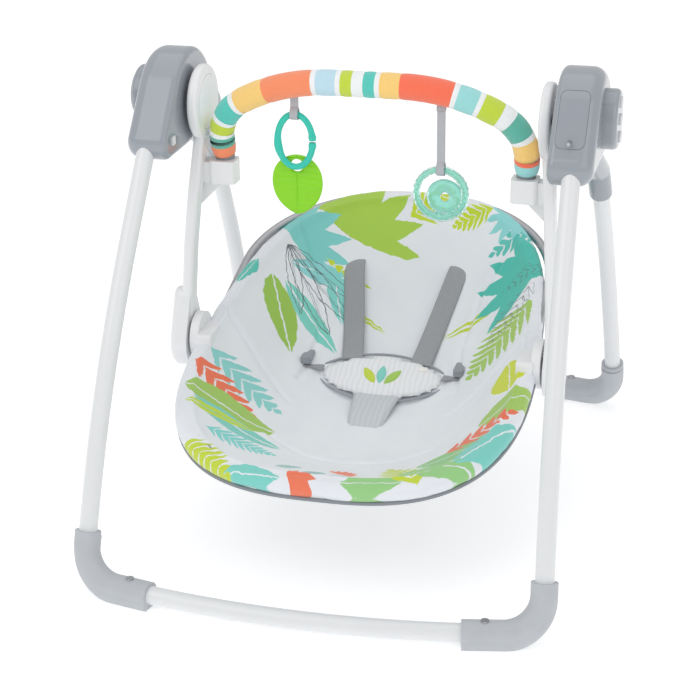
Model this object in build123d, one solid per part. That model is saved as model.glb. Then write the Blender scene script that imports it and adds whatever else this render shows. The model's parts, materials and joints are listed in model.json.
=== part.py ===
"""Portable baby swing: folding tube stand, motor hubs, swinging seat and toy bar.

Millimetres. +Z is up, -Y is the front, X is the swing axis. The origin is on the
floor, midway between the four feet. Right-hand pieces are built first and the
left-hand ones are their mirror images in the plane X = 0.
"""

import os
from math import cos, pi, radians, sin

from build123d import *

# ---- stand -------------------------------------------------------------
TUBE_R = 11.0                 # 22 mm steel tube
TUBE_WALL = 1.2
TUBE_Z = 16.0                 # height of the floor bars' centre line
CORNER = (273.4, 340.0)       # X and Y of each floor corner
LEG_TOP = (254.8, 77.0, 512.0)
LEG_KNEE = (265.5, 266.8, 241.0)   # where the two straight tangents of a leg would meet
BAR_TANGENT_Y = 395.0         # the same point of a bowed floor bar, at X = 0
KNEE_BEND_R = 1150.0
CORNER_BEND_R = 46.0
BAR_BEND_R = 1100.0
FRONT_START = 0.05            # how far down their upper runs the two tubes begin
REAR_START = 0.38

FOOT_WALL = 4.5               # rubber boot over the bend
FOOT_DROP = 6.0               # extra rubber under the tube
FOOT_UP = 59.0                # how far a boot reaches up the leg
FOOT_IN = 91.0                # and along the floor bar
FOOT_SCREW_R = 2.5
FOOT_SCREW_X = 210.0

# ---- hubs --------------------------------------------------------------
PIVOT_Y = -5.0                # swing axis, and the axis of the folding rear legs
PIVOT_Z = 513.0
HUB_IN = 228.0                # X of the inner and outer faces of a hub
HUB_OUT = 281.0
HUB_SPLIT = 254.0             # parting plane of the two shells
HUB_WALL = 2.5
HUB_TOP_R = 78.0
HUB_TOP_Z = 500.0
HUB_FOOT_R = 21.0             # rounded lower corners that hold the legs
HUB_FOOT_Y = 91.0
HUB_FOOT_Z = 483.0
HUB_OUTER_ROUND = 18.0
HUB_INNER_ROUND = 8.0

HUB_SCREWS = [(0, 570), (62, 532)]

AXLE_R = 6.0
RUNNING = 0.05                # radial running clearance
BUSH_WALL = 2.0
BOSS_R = 15.0                 # fixed boss that the knuckle and the axle turn on
KNUCKLE_IN = 236.0
KNUCKLE_OUT = 262.0
KNUCKLE_R = 27.0
SLEEVE_R = 15.0               # knuckle's sleeve over the rear tube
SLEEVE_END = 0.52             # where that sleeve ends, as a share of the upper run

POD_OUT = 301.0
POD_R = 36.0
POD_Z = 518.0
BUTTON_R = 7.0
BUTTON_STEP = 21.0
BUTTON_PROUD = 2.5

LOCK_Y = -84.0                # leg-release button
LOCK_Z = 484.0
LOCK_HALF = 5.5
LOCK_PROUD = 1.5
LOCK_DEEP = 8.0
LOCK_TRAVEL = 2.0

DOOR_HALF_WIDTH = 17.0
DOOR_BOTTOM = 507.0
DOOR_TOP = 562.0
DOOR_MID_X = 252.0
DOOR_CORNER_R = 7.0
GAP = 0.35                    # clearance round lids, buttons and moving trim

CELL_R = 7.1                  # AA cells
CELL_LENGTH = 50.0
CELL_PITCH = 14.6
CELL_Y = -55.0
CELL_Z = 513.0

GEAR_MODULE = 1.0
PINION_TEETH = 12
GEAR_TEETH = 36
GEAR_WIDTH = 6.0
GEAR_CENTRE = (268.5, 40.0, 520.0)

# ---- swing arms --------------------------------------------------------
DISC_R = 46.0
DISC_IN = 208.5
DISC_OUT = 222.0
ARM_PATH = [(217, -9, 475), (223.5, -25, 400), (228, -35, 335), (231.5, -41, 262), (232.3, -42, 231)]
ARM_SIZE = (14.0, 24.0)
SOCKET = (189.5, -2.0)        # X and Y of a toy-bar socket
SOCKET_TOP = 441.0
SOCKET_SIZE = (33.0, 30.0, 29.0)
SOCKET_DEPTH = 22.0
PLUG_R = 8.0

# ---- seat --------------------------------------------------------------
SEAT_TILT = 15.3              # slope of the rim, rising to the back
RIM_Y = -1.75
RIM_Z = 228.0
RIM_HALF_WIDTH = 204.0        # to the centre of the rim tube
RIM_HALF_LENGTH = 305.0
RIM_TUBE_R = 6.0
RIM_CORNER_R = 182.0
RIM_PAD = 14.0                # fabric round the rim tube
BRACKET_IN = 226.5
BRACKET_OUT = 249.0
BRACKET_R = 35.0
SEAT_PIVOT_Y = -42.0
SEAT_PIN_R = 7.0
SEAT_HUB_R = 30.0
SEAT_HUB_X = (212.0, 223.0)
PIN_END = 236.0               # tip of the pin inside the bracket
BOWL_FLOOR_Y = -48.0
BOWL_FLOOR_Z = 116.0          # inside face of the lowest part
BOWL_FLOOR_SIZE = (222.0, 236.0)
FABRIC = 12.0
RECLINE_R = (9.0, 15.0)       # half axes of the oval recline button
RECLINE_IN = 6.0              # its inner face, from the bottom of its hole
RECLINE_LENGTH = 7.5

PAD_CENTRE = (0.0, 46.0, 137.0)
PAD_TILT = 24.0
PAD_SIZE = (176.0, 80.0)
PAD_THICK = 10.0
STRAP_THICK = 2.0

# ---- toy bar -----------------------------------------------------------
BAR_END_Z = 450.0
BAR_RISE = 101.5
BAR_LEAN = 15.7               # the arch leans forward by this angle
BAR_BENDS = (64.0, 230.0)     # radii of its shoulder and of its top
SLEEVE_BAR_R = 15.5
BAR_TUBE_R = 8.0
TOY_X = 90.5
TOY_Y = -30.0                 # where the ribbons leave the underside of the bar
TOY_Z = 530.0
RIBBON_WIDTH = 10.0
RIBBON_THICK = 2.0
RIBBON_FOLD_R = 1.5           # rolled fold sewn under the bar, which the teether swings on
RIBBON_FOLD_DROP = 3.0
LINK_DROP = 20.0              # from the bar to the link's top wire
RIBBON_TUCK = 4.0             # extra length of the link's ribbon, cut back to the sleeve
LOOP_R = (7.8, 6.4)           # ribbon's eye round the link
LINK_HALF = (22.0, 33.0)      # half width and height of the link's centre line
LINK_WIRE = 8.0               # across its wire, seen from the front
LINK_DEEP = 5.0               # and from front to back
LEAF_THICK = 5.0
LEAF_BACK = 7.25              # how far the leaf's middle hangs behind the link's
LEAF_HOLE_R = 8.0
TEETHER_DROP = 78.0
TEETHER_R = 30.0
TEETHER_WIRE_R = 5.4
TEETHER_EYE_R = (7.5, 6.0)    # ribbon's eye round the teething ring
TEETHER_DISC = (23.0, 6.0)    # radius and thickness of the disc inside the ring
TEETHER_DISC_DROP = 3.0       # how far that disc sits below the ring's middle

nodes = {}


def add(name, shape):
    """Keep a finished sub-part under its node name."""
    nodes[name] = shape


def both(name, shape):
    """Keep a right-hand sub-part and its mirror image."""
    add("right_" + name, shape)
    add("left_" + name, mirror(shape, about=Plane.YZ))


def pair(shape):
    """A right-hand solid together with its mirror image."""
    return [shape, mirror(shape, about=Plane.YZ)]


def along(a, b, share):
    """The point that lies the given share of the way from a to b."""
    return tuple(p + (q - p) * share for p, q in zip(a, b))


def x_disc(radius, x0, x1, y=PIVOT_Y, z=PIVOT_Z):
    """A cylinder along X, from x0 to x1."""
    return extrude(Plane(origin=(x0, y, z), z_dir=(1, 0, 0)) * Circle(radius), amount=x1 - x0)


def x_ring(outer, inner, x0, x1, y=PIVOT_Y, z=PIVOT_Z):
    """A plain tube along X."""
    return x_disc(outer, x0, x1, y, z) - x_disc(inner, x0 - 1, x1 + 1, y, z)


def block(x, y, z):
    """A box given as three (low, high) pairs."""
    centre = ((x[0] + x[1]) / 2, (y[0] + y[1]) / 2, (z[0] + z[1]) / 2)
    return Pos(*centre) * Box(x[1] - x[0], y[1] - y[0], z[1] - z[0])


def swept(path, section):
    """Sweep a flat section along a path, square to its start."""
    start = Plane(origin=path @ 0, z_dir=path % 0)
    return sweep(start * section, path=path)


def rod(a, b, radius):
    """A straight round bar between two points."""
    return swept(Line(a, b), Circle(radius))


# ---- stand -------------------------------------------------------------

def leg_points(side, front):
    """Top, knee and floor corner of one leg; side is +1 or -1 in X."""
    y = -1 if front else 1
    return [
        (side * LEG_TOP[0], y * LEG_TOP[1], LEG_TOP[2]),
        (side * LEG_KNEE[0], y * LEG_KNEE[1], LEG_KNEE[2]),
        (side * CORNER[0], y * CORNER[1], TUBE_Z),
    ]


def frame_path(front, start=0.0):
    """Centre line of one U-shaped tube: leg, floor bar, leg."""
    right = leg_points(1, front)
    left = leg_points(-1, front)
    right[0] = along(right[0], right[1], start)
    left[0] = along(left[0], left[1], start)
    middle = (0, -BAR_TANGENT_Y if front else BAR_TANGENT_Y, TUBE_Z)
    bends = [KNEE_BEND_R, CORNER_BEND_R, BAR_BEND_R, CORNER_BEND_R, KNEE_BEND_R]
    return FilletPolyline(*right, middle, *reversed(left), radius=bends)


def frame_tube(front, start=0.0):
    """One hollow U-shaped tube."""
    path = frame_path(front, start)
    return swept(path, Circle(TUBE_R)) - swept(path, Circle(TUBE_R - TUBE_WALL))


def bar_tangent_y(x, front):
    """Y of a floor bar near its corner, where it is still straight."""
    slope = (BAR_TANGENT_Y - CORNER[1]) / CORNER[0]
    y = CORNER[1] + (CORNER[0] - x) * slope
    return -y if front else y


def foot(front):
    """Right-hand corner boot over the bent tube, thickened below and cut flat on the floor."""
    top, knee, corner = leg_points(1, front)
    middle = (0, -BAR_TANGENT_Y if front else BAR_TANGENT_Y, TUBE_Z)
    up = along(corner, knee, FOOT_UP / (Vector(*knee) - Vector(*corner)).length)
    inward = along(corner, middle, FOOT_IN / (Vector(*middle) - Vector(*corner)).length)
    bend = FilletPolyline(up, corner, inward, radius=CORNER_BEND_R)
    sleeve = swept(bend, Circle(TUBE_R + FOOT_WALL))
    boot = sleeve + Pos(0, 0, -FOOT_DROP) * sleeve
    boot = boot - block((100, 400), (-500, 500), (-20, 0))
    return boot - swept(frame_path(front), Circle(TUBE_R)) - foot_screw(front)


def foot_screw(front):
    """Screw that holds a boot, driven from above into the floor bar."""
    y = bar_tangent_y(FOOT_SCREW_X, front)
    shank = Pos(FOOT_SCREW_X, y, TUBE_Z + TUBE_R) * Cylinder(FOOT_SCREW_R, 8)
    head = Pos(FOOT_SCREW_X, y, TUBE_Z + TUBE_R + FOOT_WALL) * Cylinder(FOOT_SCREW_R * 1.9, 3)
    return shank + head


def stand_nodes():
    """Both U-shaped tubes, the four boots and their screws."""
    front_screws = pair(foot_screw(True))
    rear_screws = pair(foot_screw(False))
    add("front_leg_tube", frame_tube(True, FRONT_START) - front_screws)
    add("rear_leg_tube", frame_tube(False, REAR_START) - rear_screws)
    both("front_foot", foot(True))
    both("rear_foot", foot(False))
    add("front_foot_screws", Compound(front_screws))
    add("rear_foot_screws", Compound(rear_screws))


# ---- hubs --------------------------------------------------------------

def hub_outline(inset=0.0):
    """Side outline of a hub: a dome over two rounded leg corners."""
    with BuildSketch(Plane.YZ) as outline:
        with BuildLine():
            CenterArc((0, HUB_TOP_Z), HUB_TOP_R - inset, 0, 180)
            for y in (-HUB_FOOT_Y, HUB_FOOT_Y):
                CenterArc((y, HUB_FOOT_Z), HUB_FOOT_R - inset, 0, 360)
        make_hull()
    return outline.sketch


def hub_body(inset=0.0):
    """Solid hub with rounded edges, or the hollow inside it when inset."""
    width = HUB_OUT - HUB_IN - 2 * inset
    body = extrude(Pos(HUB_IN + inset, 0, 0) * hub_outline(inset), amount=width)
    outer = body.faces().sort_by(Axis.X)[-1].edges()
    body = fillet(outer, HUB_OUTER_ROUND - inset)
    inner = body.faces().sort_by(Axis.X)[0].edges()
    return fillet(inner, HUB_INNER_ROUND - inset)


def leg_slot():
    """Opening under a hub through which the folding rear leg swings."""
    return block((KNUCKLE_IN - 4, KNUCKLE_OUT + 12), (-50, 98), (430, 486))


def door_prism(grow=0.0):
    """Rounded rectangle that the battery door is cut to, seen from the front."""
    width = 2 * (DOOR_HALF_WIDTH + grow)
    height = DOOR_TOP - DOOR_BOTTOM + 2 * grow
    origin = (DOOR_MID_X, -130, (DOOR_TOP + DOOR_BOTTOM) / 2)
    middle = Plane(origin=origin, x_dir=(1, 0, 0), z_dir=(0, 1, 0))
    return extrude(middle * RectangleRounded(width, height, DOOR_CORNER_R + grow), amount=90)


def front_leg_top():
    """The stretch of front tube inside the right-hand hub, as a solid bar."""
    return swept(frame_path(True, FRONT_START), Circle(TUBE_R)) & block((200, 300), (-130, 0), (440, 540))


def leg_button_hole(grow=0.0):
    """Place of the leg-release button on a hub's inner face."""
    return block(
        (HUB_IN - LOCK_PROUD, HUB_IN + LOCK_DEEP),
        (LOCK_Y - LOCK_HALF - grow, LOCK_Y + LOCK_HALF + grow),
        (LOCK_Z - LOCK_HALF - grow, LOCK_Z + LOCK_HALF + grow),
    )


def door_skin(grow=0.0):
    """The patch of front wall that the battery door stands in."""
    wall = hub_body() - hub_body(HUB_WALL)
    return wall & door_prism(grow) & block((200, 300), (-130, -40), (400, 600))


def inner_half(shape):
    """The part of a shape on the swing's side of the parting plane."""
    return shape & block((200, HUB_SPLIT), (-200, 200), (400, 650))


def outer_half(shape):
    """The part of a shape outside the parting plane."""
    return shape & block((HUB_SPLIT, 400), (-200, 200), (400, 650))


def hub_screw_set():
    """Screws that join the two shells of the right-hand hub."""
    return [x_disc(1.8, 246, 262, y, z) for y, z in HUB_SCREWS]


def hub_shells():
    """Inner and outer shell of the right-hand hub, with posts and the leg socket."""
    hollow = hub_body(HUB_WALL)
    wall = hub_body() - hollow
    wall = wall - leg_slot() - front_leg_top() - leg_button_hole(GAP)
    wall = wall - x_disc(BOSS_R, HUB_IN - 5, HUB_IN + HUB_WALL + 3)
    for y, z in HUB_SCREWS:
        wall = wall + (x_disc(4.5, HUB_IN + 1, HUB_OUT - 4, y, z) & hollow)
    socket = block((HUB_IN, HUB_OUT - 4), (-98, -66), (494, 522)) & hollow
    wall = wall + (socket - front_leg_top())
    for screw in hub_screw_set():
        wall = wall - screw
    boss = x_ring(BOSS_R, AXLE_R + BUSH_WALL, HUB_IN - 2, HUB_OUT - HUB_WALL + 0.5)
    return inner_half(wall), outer_half(wall) + boss


def hub_nodes():
    """Shells and their screws on both sides."""
    inner, outer = hub_shells()
    add("left_hub_inner_shell", mirror(inner, about=Plane.YZ))
    add("left_hub_outer_shell", mirror(outer, about=Plane.YZ))
    doorway = door_skin(GAP)
    pod_window = block((HUB_OUT - 8, HUB_OUT + 5), (-14, 14), (POD_Z - 30, POD_Z + 30))
    add("right_hub_inner_shell", inner - doorway)
    add("right_hub_outer_shell", outer - doorway - pod_window)
    screws = hub_screw_set()
    add("hub_screws", Compound(screws + [mirror(screw, about=Plane.YZ) for screw in screws]))


def leg_parts():
    """Knuckles that carry the rear tube, and the buttons that unlock them."""
    top, knee, _ = leg_points(1, False)
    ring = x_disc(KNUCKLE_R, KNUCKLE_IN, KNUCKLE_OUT)
    neck = rod((249, 14, 492), along(top, knee, REAR_START), SLEEVE_R)
    sleeve = rod(along(top, knee, REAR_START), along(top, knee, SLEEVE_END), SLEEVE_R)
    joint_ball = Pos(*along(top, knee, REAR_START)) * Sphere(SLEEVE_R)
    knuckle = ring + neck + joint_ball + sleeve
    knuckle = knuckle - x_disc(BOSS_R + RUNNING, 200, 300)
    tube = swept(frame_path(False, REAR_START), Circle(TUBE_R))
    both("leg_knuckle", knuckle - tube)
    cap = block(
        (HUB_IN - LOCK_PROUD, HUB_IN + LOCK_DEEP - LOCK_TRAVEL - 1),
        (LOCK_Y - LOCK_HALF, LOCK_Y + LOCK_HALF),
        (LOCK_Z - LOCK_HALF, LOCK_Z + LOCK_HALF),
    )
    both("leg_button", fillet(cap.edges().filter_by(Axis.X), 2))


def door_parts():
    """Battery door, its screw and the cells behind it."""
    screw = Pos(DOOR_MID_X, -98, 514) * Rot(90, 0, 0) * Cylinder(2.2, 12)
    add("battery_door", door_skin() - screw)
    add("battery_door_screw", screw)
    cell = Cylinder(CELL_R, CELL_LENGTH) + Pos(0, 0, CELL_LENGTH / 2 + 0.5) * Cylinder(2.7, 1)
    first = Pos(DOOR_MID_X - CELL_PITCH / 2, CELL_Y, CELL_Z)
    cells = [first * Pos(i * CELL_PITCH, j * CELL_PITCH, 0) * cell for i in range(2) for j in range(2)]
    add("battery_cells", Compound(cells))


def gear(teeth, bore, width):
    """Spur gear along X with straight-sided teeth, its first gap centred on +Y."""
    pitch_r = teeth * GEAR_MODULE / 2
    root_r = pitch_r - 1.25 * GEAR_MODULE
    tip_r = pitch_r + 0.95 * GEAR_MODULE
    step = 2 * pi / teeth
    points = []
    for tooth in range(teeth):
        middle = (tooth + 0.5) * step
        for radius, half in ((root_r, 0.34), (tip_r, 0.13)):
            points.append((radius * cos(middle - half * step), radius * sin(middle - half * step)))
        for radius, half in ((tip_r, 0.13), (root_r, 0.34)):
            points.append((radius * cos(middle + half * step), radius * sin(middle + half * step)))
    face = Plane.YZ * (make_face(Polyline(*points, close=True)) - Circle(bore))
    return extrude(face, amount=width)


def drive_parts():
    """Motor, pinion, reduction gear, circuit board and speaker of the right hub."""
    x, y, z = GEAR_CENTRE
    reach = (PINION_TEETH + GEAR_TEETH) * GEAR_MODULE / 2
    wheel = gear(GEAR_TEETH, 2.5, GEAR_WIDTH)
    crank_pin = x_disc(2, GEAR_WIDTH, GEAR_WIDTH + 3, 10, 0)
    add("drive_gear", Pos(x - GEAR_WIDTH, y, z) * (wheel + crank_pin))
    half_tooth = 180 / PINION_TEETH
    pinion = Rot(half_tooth, 0, 0) * gear(PINION_TEETH, 1.0, GEAR_WIDTH)
    add("motor_pinion", Pos(x - GEAR_WIDTH, y, z + reach) * pinion)
    motor = x_disc(10, 240, x - GEAR_WIDTH - 2, y, z + reach)
    shaft = x_disc(1.0 - RUNNING, x - GEAR_WIDTH - 2, x + 1, y, z + reach)
    add("drive_motor", motor + shaft)
    add("circuit_board", block((238, 262), (64, 66), (488, 516)))
    add("speaker", x_disc(12, 266, 277, 74, 498))


def pod_parts():
    """Control pod on the right hub, its push buttons, and the plain cap on the left."""
    shell = x_disc(POD_R, HUB_OUT, POD_OUT - BUTTON_PROUD, 0, POD_Z)
    shell = fillet(shell.faces().sort_by(Axis.X)[-1].edges(), 6)
    inside = x_disc(POD_R - HUB_WALL, HUB_OUT - 1, POD_OUT - BUTTON_PROUD - HUB_WALL, 0, POD_Z)
    add("left_hub_cap", mirror(shell - inside + cap_rim(), about=Plane.YZ))
    pod = shell - inside
    names = ["speed_button", "music_button", "timer_button"]
    for place, name in enumerate(names):
        z = POD_Z + (1 - place) * BUTTON_STEP
        pod = pod - x_disc(BUTTON_R + GAP, HUB_OUT, POD_OUT + 1, 0, z)
        button = x_disc(BUTTON_R, POD_OUT - 10, POD_OUT, 0, z)
        button = fillet(button.faces().sort_by(Axis.X)[-1].edges(), 1.2)
        add(name, button)
    add("control_pod", pod)


def cap_rim():
    """Raised ring on the outer cap, as high as the push buttons on the pod."""
    return x_ring(POD_R - 9, POD_R - 14, POD_OUT - BUTTON_PROUD - 1, POD_OUT, 0, POD_Z)


# ---- swing -------------------------------------------------------------

def arm_nodes():
    """Arms with their discs and toy-bar sockets, plus axles and bushes."""
    disc = x_disc(DISC_R, DISC_IN, DISC_OUT)
    disc = fillet(disc.edges(), 5)
    path = FilletPolyline(*ARM_PATH, radius=150)
    start = Plane(origin=path @ 0, x_dir=(1, 0, 0), z_dir=path % 0)
    beam = sweep(start * RectangleRounded(*ARM_SIZE, 5), path=path)
    x, y = SOCKET
    wide, deep, high = SOCKET_SIZE
    bottom = SOCKET_TOP - high
    body = block((x - wide / 2, x + wide / 2), (y - deep / 2 - 4, y + deep / 2 - 4), (bottom, SOCKET_TOP))
    body = fillet(body.edges().filter_by(Axis.Z), 6)
    bridge = block((x, DISC_OUT + 4), (y - 14, y + 6), (bottom, SOCKET_TOP - 3))
    rib = Polyline((x, bottom + 1), (DISC_OUT, 380), (DISC_OUT, 425), (x, 425), close=True)
    gusset = extrude(Plane.XZ * make_face(rib), amount=8)
    arm = disc + beam + body + bridge + Pos(0, -2, 0) * gusset
    plug = Pos(x, y, SOCKET_TOP - SOCKET_DEPTH / 2) * Cylinder(PLUG_R + RUNNING, SOCKET_DEPTH)
    recess = x_disc(DISC_R - 12, DISC_IN - 1, DISC_IN + 3)
    arm = arm - plug - recess - x_disc(AXLE_R, 200, 230)
    both("arm", arm)
    cap = x_disc(DISC_R - 12.3, DISC_IN - 0.5, DISC_IN + 3)
    both("arm_cap", fillet(cap.edges().sort_by(Axis.X)[0], 0.8))
    both("axle", x_disc(AXLE_R, DISC_IN + 4, HUB_OUT - 6))
    bushes = []
    for x0 in (HUB_IN, HUB_OUT - 14):
        bushes.append(x_ring(AXLE_R + BUSH_WALL, AXLE_R + RUNNING, x0, x0 + 10))
    add("axle_bushes", Compound(bushes + [mirror(bush, about=Plane.YZ) for bush in bushes]))


def rim_point(u, v):
    """A point of the seat's rim plane: u across, v up the slope from its centre."""
    tilt = radians(SEAT_TILT)
    return (u, RIM_Y + v * cos(tilt), RIM_Z + v * sin(tilt))


def seat_pivot():
    """Y and Z of the hinge between the arms' brackets and the seat."""
    v = (SEAT_PIVOT_Y - RIM_Y) / cos(radians(SEAT_TILT))
    return rim_point(0, v)[1:]


def bracket_nodes():
    """Brackets at the arms' lower ends, with their recline buttons."""
    y, z = seat_pivot()
    with BuildSketch(Plane.YZ) as outline:
        with BuildLine():
            CenterArc((y, z - 6), BRACKET_R, 0, 360)
            CenterArc((y + 1, z + 50), 13, 0, 360)
        make_hull()
    shell = extrude(Pos(BRACKET_IN, 0, 0) * outline.sketch, amount=BRACKET_OUT - BRACKET_IN)
    shell = fillet(shell.faces().sort_by(Axis.X)[-1].edges(), 7)
    path = FilletPolyline(*ARM_PATH, radius=150)
    start = Plane(origin=path @ 0, x_dir=(1, 0, 0), z_dir=path % 0)
    beam = sweep(start * RectangleRounded(*ARM_SIZE, 5), path=path)
    oval = Plane(origin=(BRACKET_OUT - 12, y, z), z_dir=(1, 0, 0))
    half_y, half_z = RECLINE_R
    hole = extrude(oval * Ellipse(half_z + GAP, half_y + GAP), amount=20)
    button = extrude(oval.offset(RECLINE_IN) * Ellipse(half_z, half_y), amount=RECLINE_LENGTH)
    both("seat_bracket", shell - beam - hole - x_disc(SEAT_PIN_R + RUNNING, 200, PIN_END + 1, y, z))
    both("recline_button", fillet(button.edges().sort_by(Axis.X)[-1], 1))


def rim_tube_path(front):
    """Centre line of the front or back half of the seat's rim."""
    v = (SEAT_PIVOT_Y - RIM_Y) / cos(radians(SEAT_TILT))
    end = -RIM_HALF_LENGTH if front else RIM_HALF_LENGTH
    w = RIM_HALF_WIDTH
    return FilletPolyline(
        rim_point(w, v), rim_point(w, end), rim_point(-w, end), rim_point(-w, v), radius=RIM_CORNER_R
    )


def seat_frame_nodes():
    """Rim tubes and the pivot hubs they plug into."""
    y, z = seat_pivot()
    tubes = [swept(rim_tube_path(front), Circle(RIM_TUBE_R)) for front in (True, False)]
    hub = x_disc(SEAT_HUB_R, *SEAT_HUB_X, y, z) + x_disc(SEAT_PIN_R, SEAT_HUB_X[0], PIN_END, y, z)
    socket = block((194, 214), (y - 34, y + 34), (z - 12, z + 12))
    hub = hub + fillet(socket.edges().filter_by(Axis.X), 5)
    both("seat_hub", hub - tubes[0] - tubes[1])
    add("seat_front_tube", tubes[0])
    add("seat_back_tube", tubes[1])
    return hub + mirror(hub, about=Plane.YZ), tubes


def rim_sheet(inset, lift):
    """Outline of the bowl in the rim plane, drawn in by inset and lifted off the plane."""
    tilt = radians(SEAT_TILT)
    plane = Plane(origin=(0, RIM_Y, RIM_Z), x_dir=(1, 0, 0), z_dir=(0, -sin(tilt), cos(tilt)))
    width = 2 * (RIM_HALF_WIDTH + RIM_PAD - inset)
    length = 2 * (RIM_HALF_LENGTH + RIM_PAD - inset)
    return plane.offset(lift) * RectangleRounded(width, length, RIM_CORNER_R + RIM_PAD - inset)


def floor_sheet(grow, drop):
    """Outline of the bowl's floor."""
    width, length = BOWL_FLOOR_SIZE
    place = Pos(0, BOWL_FLOOR_Y, BOWL_FLOOR_Z - drop) * Rot(3, 0, 0)
    return place * RectangleRounded(width + 2 * grow, length + 2 * grow, 70 + grow)


def seat_cover_node(hubs, tubes):
    """Padded fabric bowl over the rim tubes, open at the top."""
    outer = loft([rim_sheet(0, 0), floor_sheet(FABRIC, FABRIC)])
    lip = extrude(rim_sheet(0, 0), amount=RIM_PAD)
    inner = loft([rim_sheet(2 * RIM_PAD, RIM_PAD + 2), floor_sheet(0, 0)])
    cover = outer + lip - inner
    cover = cover - hubs - tubes[0] - tubes[1]
    add("seat_cover", cover)


def harness_nodes():
    """Five-point harness lying over the seat: straps, pad and buckles."""
    tilt = radians(PAD_TILT)
    pad_face = Plane(origin=PAD_CENTRE, x_dir=(1, 0, 0), z_dir=(0, -sin(tilt), cos(tilt)))
    pad = extrude(pad_face * Ellipse(PAD_SIZE[0] / 2, PAD_SIZE[1] / 2), amount=PAD_THICK)
    add("harness_pad", pad)
    y, z = PAD_CENTRE[1:]
    crotch = [(0, y - 40, z - 13.5), (0, y - 98, z - 17.5)]
    add("crotch_strap", strap(crotch, 44, (1, 0, 0)))
    shoulder = [(46, y + 36, z + 25), (72, y + 139, z + 115)]
    add("shoulder_straps", Compound(pair(strap(shoulder, 28, (1, 0, 0)))))
    waist = [(90, y + 4, z + 9), (112, y, z + 15)]
    add("waist_straps", Compound(pair(strap(waist, 25, (0, 1, 0)))))
    buckle = Pos(102, y + 3, z + 22) * Box(13, 30, 8)
    add("harness_buckles", Compound(pair(fillet(buckle.edges().filter_by(Axis.Z), 3))))


def strap(points, width, across):
    """A flat webbing strap along straight runs."""
    path = Line(*points)
    start = Plane(origin=path @ 0, x_dir=across, z_dir=path % 0)
    return sweep(start * Rectangle(width, STRAP_THICK), path=path)


# ---- toy bar -----------------------------------------------------------

def bar_point(x, rise):
    """A point of the leaning arch, rise above the top of its ferrules."""
    lean = radians(BAR_LEAN)
    return (x, SOCKET[1] - rise * sin(lean), BAR_END_Z + rise * cos(lean))


def bar_path():
    """Centre line of the toy bar."""
    foot_x = SOCKET[0]
    rise = BAR_RISE / cos(radians(BAR_LEAN))
    half = [bar_point(foot_x, 0), bar_point(foot_x + 2, 58), bar_point(102, rise)]
    other = [(-x, y, z) for x, y, z in reversed(half)]
    return FilletPolyline(*half, *other, radius=[*BAR_BENDS, *reversed(BAR_BENDS)])


def toy_bar_nodes():
    """Inner tube, striped sleeve and the ferrules that plug into the sockets."""
    path = bar_path()
    tube = swept(path, Circle(BAR_TUBE_R))
    add("toy_bar_tube", tube)
    add("toy_bar_sleeve", swept(path, Circle(SLEEVE_BAR_R)) - tube)
    x, y = SOCKET
    tip = SOCKET_TOP - SOCKET_DEPTH + 0.5
    plug = Pos(x, y, (tip + BAR_END_Z) / 2) * Cylinder(PLUG_R, BAR_END_Z - tip)
    collar = Pos(x, y, SOCKET_TOP + 2.2) * Cylinder(12, 4)
    both("ferrule", plug + collar - tube - swept(path, Circle(SLEEVE_BAR_R)))


def toy_nodes():
    """Ribbons, link, leaf and teething ring hung from the bar."""
    hung = ribbon(-TOY_X, TOY_Z + RIBBON_TUCK, LINK_DROP, LOOP_R)
    add("left_ribbon", hung - swept(bar_path(), Circle(SLEEVE_BAR_R)))
    half = RIBBON_WIDTH / 2
    fold_z = TOY_Z - RIBBON_FOLD_DROP
    fold = x_disc(RIBBON_FOLD_R, TOY_X - half, TOY_X + half, TOY_Y, fold_z)
    add("right_ribbon", ribbon(TOY_X, fold_z, TEETHER_DROP, TEETHER_EYE_R) + fold)
    wide, high = LINK_HALF
    half = LINK_WIRE / 2
    top = TOY_Z - LINK_DROP
    ring = Plane.XZ * (Ellipse(wide + half, high + half) - Ellipse(wide - half, high - half))
    add("toy_link", extrude(Pos(-TOY_X, TOY_Y + LINK_DEEP / 2, top - high) * ring, amount=LINK_DEEP))
    add("toy_leaf", Pos(-TOY_X, TOY_Y + LEAF_BACK + LEAF_THICK / 2, top - 2 * high) * leaf())
    middle = TOY_Z - TEETHER_DROP - TEETHER_R
    hoop = Pos(TOY_X, TOY_Y, middle) * Rot(90, 0, 0) * Torus(TEETHER_R, TEETHER_WIRE_R)
    disc = Pos(TOY_X, TOY_Y, middle - TEETHER_DISC_DROP) * Rot(90, 0, 0) * Cylinder(*TEETHER_DISC)
    add("toy_teether", hoop + disc)


def ribbon(x, top, drop, eye_radii):
    """A flat ribbon hung from height top, ending in an eye round whatever it carries."""
    outer, inner = eye_radii
    half = RIBBON_WIDTH / 2
    flat = RIBBON_THICK / 2
    bottom = TOY_Z - drop
    into_eye = bottom + (inner + outer) / 2
    strip = block((x - half, x + half), (TOY_Y - flat, TOY_Y + flat), (into_eye, top))
    return strip + x_ring(outer, inner, x - half, x + half, TOY_Y, bottom)


def leaf():
    """A flat leaf that hangs from the hole at its origin."""
    with BuildSketch(Plane.XZ) as outline:
        with BuildLine():
            Spline((0, 13), (-28, 1), (-30, -31), (0, -63), (30, -31), (28, 1), (0, 13))
        make_face()
        Circle(LEAF_HOLE_R, mode=Mode.SUBTRACT)
    return extrude(outline.sketch, amount=LEAF_THICK)


# ---- everything --------------------------------------------------------

stand_nodes()
hub_nodes()
leg_parts()
door_parts()
drive_parts()
pod_parts()
arm_nodes()
bracket_nodes()
seat_hubs, rim_tubes = seat_frame_nodes()
seat_cover_node(seat_hubs, rim_tubes)
harness_nodes()
toy_bar_nodes()
toy_nodes()

os.makedirs("parts", exist_ok=True)
for name, shape in nodes.items():
    export_step(shape, f"parts/{name}.step")
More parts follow.
